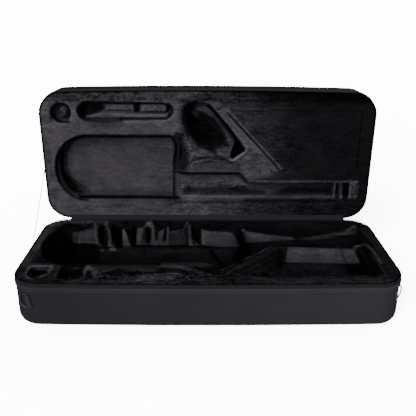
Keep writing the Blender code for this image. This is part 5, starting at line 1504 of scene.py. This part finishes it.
    # narrow channel, end supports, the lower border
    T = paint_area(T, [(104, 97), (326, 97), (326, 93), (210, 84), (104, 82)], 0.72, 5.0)
    T = paint_area(T, [(205, 96), (326, 96), (326, 62), (150, 62)], 0.13, 30.0)
    T = paint_line(T, [(106, 101), (230, 101)], 1.9, 1.00)
    T = paint_line(T, [(230, 101), (346, 101)], 1.9, 0.62)
    T = paint_line(T, [(106, 97.5), (326, 97.5)], 1.3, 0.20, 0.7)
    T = paint_line(T, [(328, 98), (328, 62), (326, 54)], 2.2, 0.80)
    T = paint_line(T, [(336, 96), (336, 64)], 2.4, 0.03)
    T = paint_line(T, [(345, 98), (345, 62), (348, 54)], 2.4, 0.85)
    T = paint_line(T, [(351, 96), (351, 64)], 2.0, 0.06, 0.8)
    T = paint_area(T, [(368, 56), (384, 56), (385, 96), (376, 100), (368, 96)], 0.50, 4.0)
    T = paint_line(T, [(370, 60), (369, 90), (376, 98), (384, 92), (384, 58)], 2.2, 0.95)
    T = paint_line(T, [(364, 60), (364, 92)], 2.0, 0.04, 0.9)
    T = paint_line(T, [(-84, 45), (100, 46), (330, 44)], 4.0, 0.42, 0.75)
    T = paint_line(T, [(-84, 34), (60, 33)], 4.0, 0.85, 0.4)
    C = C + 0.35 * np.clip((58 - GB) / 10, 0, 1) * np.clip((GA + 120) / 60, 0, 1)
    C = C + 0.20 * np.clip((GA - 200) / 80, 0, 1)

    # painted shade between and beyond the end supports, and a darker band along the lower border; the top border's
    # uneven pile
    T = paint_area(T, [(331, 96), (343, 96), (343, 57), (331, 57)], 0.16, 3.0)
    T = paint_area(T, [(350, 100), (365, 100), (365, 54), (350, 54)], 0.05, 3.0)
    T = paint_area(T, [(388, 112), (432, 112), (432, 20), (388, 20)], 0.11, 5.0)
    T = paint_line(T, [(104, 50), (230, 49), (390, 50)], 8.0, 0.14, 0.85)
    T = T * (1 - 0.16 * np.clip((GB - 304) / 8, 0, 1))
    C = C + 0.55 * np.clip((GB - 300) / 10, 0, 1) * np.clip((120 - GA) / 60, 0, 1)
    C = C * (1 - 0.45 * np.clip((GA - 190) / 80, 0, 1) * np.clip((GB - 104) / 10, 0, 1))

    def level(a, b, h, normal):
        u, v = seen(a, b, h, True)
        return sampled(T, u, v), sampled(C, u, v)

    lining(H, -82.0, labels, [(n, c) for n, c, _ in order], PLUSH_LID, True, level, seed=23, crush=0.22)


lid_half()


# ---------------------------------------------------------------- cloth hinge
def strip(name, path, thick, x, look, cad):
    line = [Vector(p) for p in path]
    fine = []
    for p, q in zip(line, line[1:]):
        n = max(1, round((q - p).length / 0.0016))
        fine += [p.lerp(q, k / n) for k in range(n)]
    fine.append(line[-1])
    for _ in range(3):
        fine = [fine[0]] + [(fine[i - 1] + fine[i] * 2 + fine[i + 1]) / 4 for i in range(1, len(fine) - 1)] + [fine[-1]]
    inner = []
    for i, p in enumerate(fine):
        a, b = fine[max(i - 1, 0)], fine[min(i + 1, len(fine) - 1)]
        d = (b - a).normalized()
        inner.append(p + Vector((-d.y, d.x)) * thick)
    ring = fine + list(reversed(inner))
    m, n = len(ring), 120
    rng = np.random.RandomState(len(name))
    wave = np.cumsum(rng.uniform(-1, 1, n + 1))
    wave = (wave - wave.mean()) / (np.abs(wave).max() + 1e-9) * 0.00015
    xs = np.linspace(-x, x, n + 1)
    points = np.array([[xx, p.x, p.y + wave[i] * 0.5] for i, xx in enumerate(xs) for p in ring])
    run = np.concatenate([[0], np.cumsum([(ring[(j + 1) % m] - ring[j]).length for j in range(m)])])
    quads, uv = [], []
    for i in range(n):
        for j in range(m):
            k = (j + 1) % m
            quads.append((i * m + j, i * m + k, (i + 1) * m + k, (i + 1) * m + j))
            uv.append(((xs[i], run[j]), (xs[i], run[j + 1]), (xs[i + 1], run[j + 1]), (xs[i + 1], run[j])))
    quads, uv = np.array(quads), np.array(uv)
    quads, uv = outward(points, quads, uv)
    made = fast_mesh(name, points, quads, look, uv, sharp=60)
    bm = bmesh.new()
    bm.from_mesh(made.data)
    bmesh.ops.holes_fill(bm, edges=[e for e in bm.edges if e.is_boundary], sides=0)
    bm.to_mesh(made.data)
    bm.free()
    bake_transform(made)
    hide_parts(cad)
    return made


lid_d, lid_t = Vector((LID_V.y, LID_V.z)), Vector((LID_T.y, LID_T.z))
hinge = Vector((HINGE.y, HINGE.z))
o = 0.0004
outer_path = [hinge + Vector((o - SIDE_IN, -0.0210)), hinge + Vector((o - SIDE_IN, -0.0030)), hinge + Vector((o, -0.0012)),
              hinge + lid_t * 0.0014 - lid_d * 0.0004, hinge + lid_t * 0.0035 + lid_d * (SIDE_IN - o), hinge + lid_t * 0.0210 + lid_d * (SIDE_IN - o)]
strip("hinge_outer_strip", outer_path, 0.0008, ZIP_END - 0.0006, WEBBING, "hinge_strip")
inner_path = [hinge + Vector((-0.0098, -0.0009)), hinge + Vector((-0.0092, -0.0002)), hinge + Vector((-0.0042, 0.0001)), hinge + Vector((-0.0022, 0.0008)),
              hinge + lid_t * -0.0008 + lid_d * 0.0022, hinge + lid_t * -0.0001 + lid_d * 0.0042, hinge + lid_t * 0.0002 + lid_d * 0.0092,
              hinge + lid_t * 0.0009 + lid_d * 0.0098]
strip("hinge_inner_tape", inner_path, 0.0006, 0.3590, HINGE_CLOTH, "hinge_lining")


# ---------------------------------------------------------------- tubes
def tube(name, points, radius, look, closed=False, sides=12, flat=1.0, twist=0.0):
    """A round tube along the points; twist cuts a braid into it."""
    pts = [Vector(p) for p in points]
    n = len(pts)
    rings, uv_run, run = [], [], 0.0
    up = None
    for i, p in enumerate(pts):
        a = pts[(i - 1) % n] if closed else pts[max(i - 1, 0)]
        b = pts[(i + 1) % n] if closed else pts[min(i + 1, n - 1)]
        d = (b - a).normalized()
        if up is None:
            up = d.orthogonal().normalized()
        up = (up - d * up.dot(d)).normalized()
        side = d.cross(up)
        r = radius(i / max(1, n - 1)) if callable(radius) else radius
        rings.append([p + (up * math.cos(2 * math.pi * k / sides) + side * math.sin(2 * math.pi * k / sides) * flat)
                      * (r * (1 + twist * math.cos(4 * (2 * math.pi * k / sides) + run * 1500))) for k in range(sides)])
        uv_run.append(run)
        run += (pts[(i + 1) % n] - p).length
    points = np.array([[tuple(v) for v in ring] for ring in rings]).reshape(-1, 3)
    quads, uv = [], []
    uv_run.append(run)
    for i in range(n if closed else n - 1):
        j = (i + 1) % n
        for k in range(sides):
            l = (k + 1) % sides
            quads.append((i * sides + k, i * sides + l, j * sides + l, j * sides + k))
            u0, u1, v0, v1 = uv_run[i], uv_run[i + 1], k * 0.0007, (k + 1) * 0.0007
            uv.append(((u0, v0), (u0, v1), (u1, v1), (u1, v0)))
    quads, uv = np.array(quads), np.array(uv)
    quads, uv = outward(points, quads, uv)
    made = fast_mesh(name, points, quads, look, uv, sharp=None)
    if not closed:
        bm = bmesh.new()
        bm.from_mesh(made.data)
        bmesh.ops.holes_fill(bm, edges=[e for e in bm.edges if e.is_boundary], sides=0)
        bm.to_mesh(made.data)
        bm.free()
    return made


# ---------------------------------------------------------------- stay cord
CORD_X = -(LENGTH / 2 + 0.0017)
low = Vector((CORD_X, WIDTH / 2 - 0.1390, BASE_H - 0.0020))
high = lid_point(CORD_X, 0.1270, 0.0020)
route = []
for k in range(97):
    t = k / 96
    p = low.lerp(high, t)
    p.z -= 0.0050 * 4 * t * (1 - t)
    route.append(p)
cord = tube("stay_cord_braid", route, 0.0011, CORD, sides=12, twist=0.07)
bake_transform(cord)
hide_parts("stay_cord")


# ---------------------------------------------------------------- CAD nodes kept, with better finishes
def dress(node_name, look):
    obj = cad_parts[node_name]
    obj.data.materials.clear()
    obj.data.materials.append(look)
    return obj


for name, look in (("handle_bail", METAL), ("handle_grip", MOULDED), ("handle_anchor_left", MOULDED), ("handle_anchor_right", MOULDED),
                   ("handle_screw_left", METAL), ("handle_screw_right", METAL), ("zipper_slider_left", METAL), ("zipper_slider_right", METAL),
                   ("zipper_pull_left", METAL), ("zipper_pull_right", METAL), ("stay_cord_base_tab", MOULDED), ("stay_cord_lid_tab", MOULDED),
                   ("ring_tab_left", MOULDED), ("ring_tab_right", MOULDED), ("strap_ring_left", METAL), ("strap_ring_right", METAL)):
    dress(name, look)


# ---------------------------------------------------------------- stage: floor, light
def stage():
    bm = bmesh.new()
    bmesh.ops.create_grid(bm, x_segments=8, y_segments=8, size=40.0)
    mesh = bpy.data.meshes.new("floor")
    bm.to_mesh(mesh)
    bm.free()
    made, tree, shader = new_material("floor", (0.92, 0.92, 0.92), 0.9, specular=0.0)
    tint = ramp(tree, noise(tree, mapped(tree), 0.6, 2.0), [(0.3, (0.915, 0.915, 0.915)), (0.7, (0.93, 0.93, 0.93))])
    tree.links.new(tint, shader.inputs["Base Color"])
    mesh.materials.append(made)
    floor = bpy.data.objects.new("floor", mesh)
    floor.location = (0, 20, 0)
    bpy.context.scene.collection.objects.link(floor)

    world = bpy.data.worlds.new("studio")
    world.use_nodes = True
    world.node_tree.nodes["Background"].inputs["Color"].default_value = (1.0, 1.0, 1.0, 1.0)
    world.node_tree.nodes["Background"].inputs["Strength"].default_value = 6.2
    bpy.context.scene.world = world

    sun = bpy.data.lights.new("key", "SUN")
    sun.energy = 52.0
    sun.angle = math.radians(50)
    made = bpy.data.objects.new("key", sun)
    made.rotation_euler = (Vector((0, 0, 0)) - Vector((-0.38, -0.90, 0.62))).to_track_quat("-Z", "Y").to_euler()
    bpy.context.scene.collection.objects.link(made)


stage()
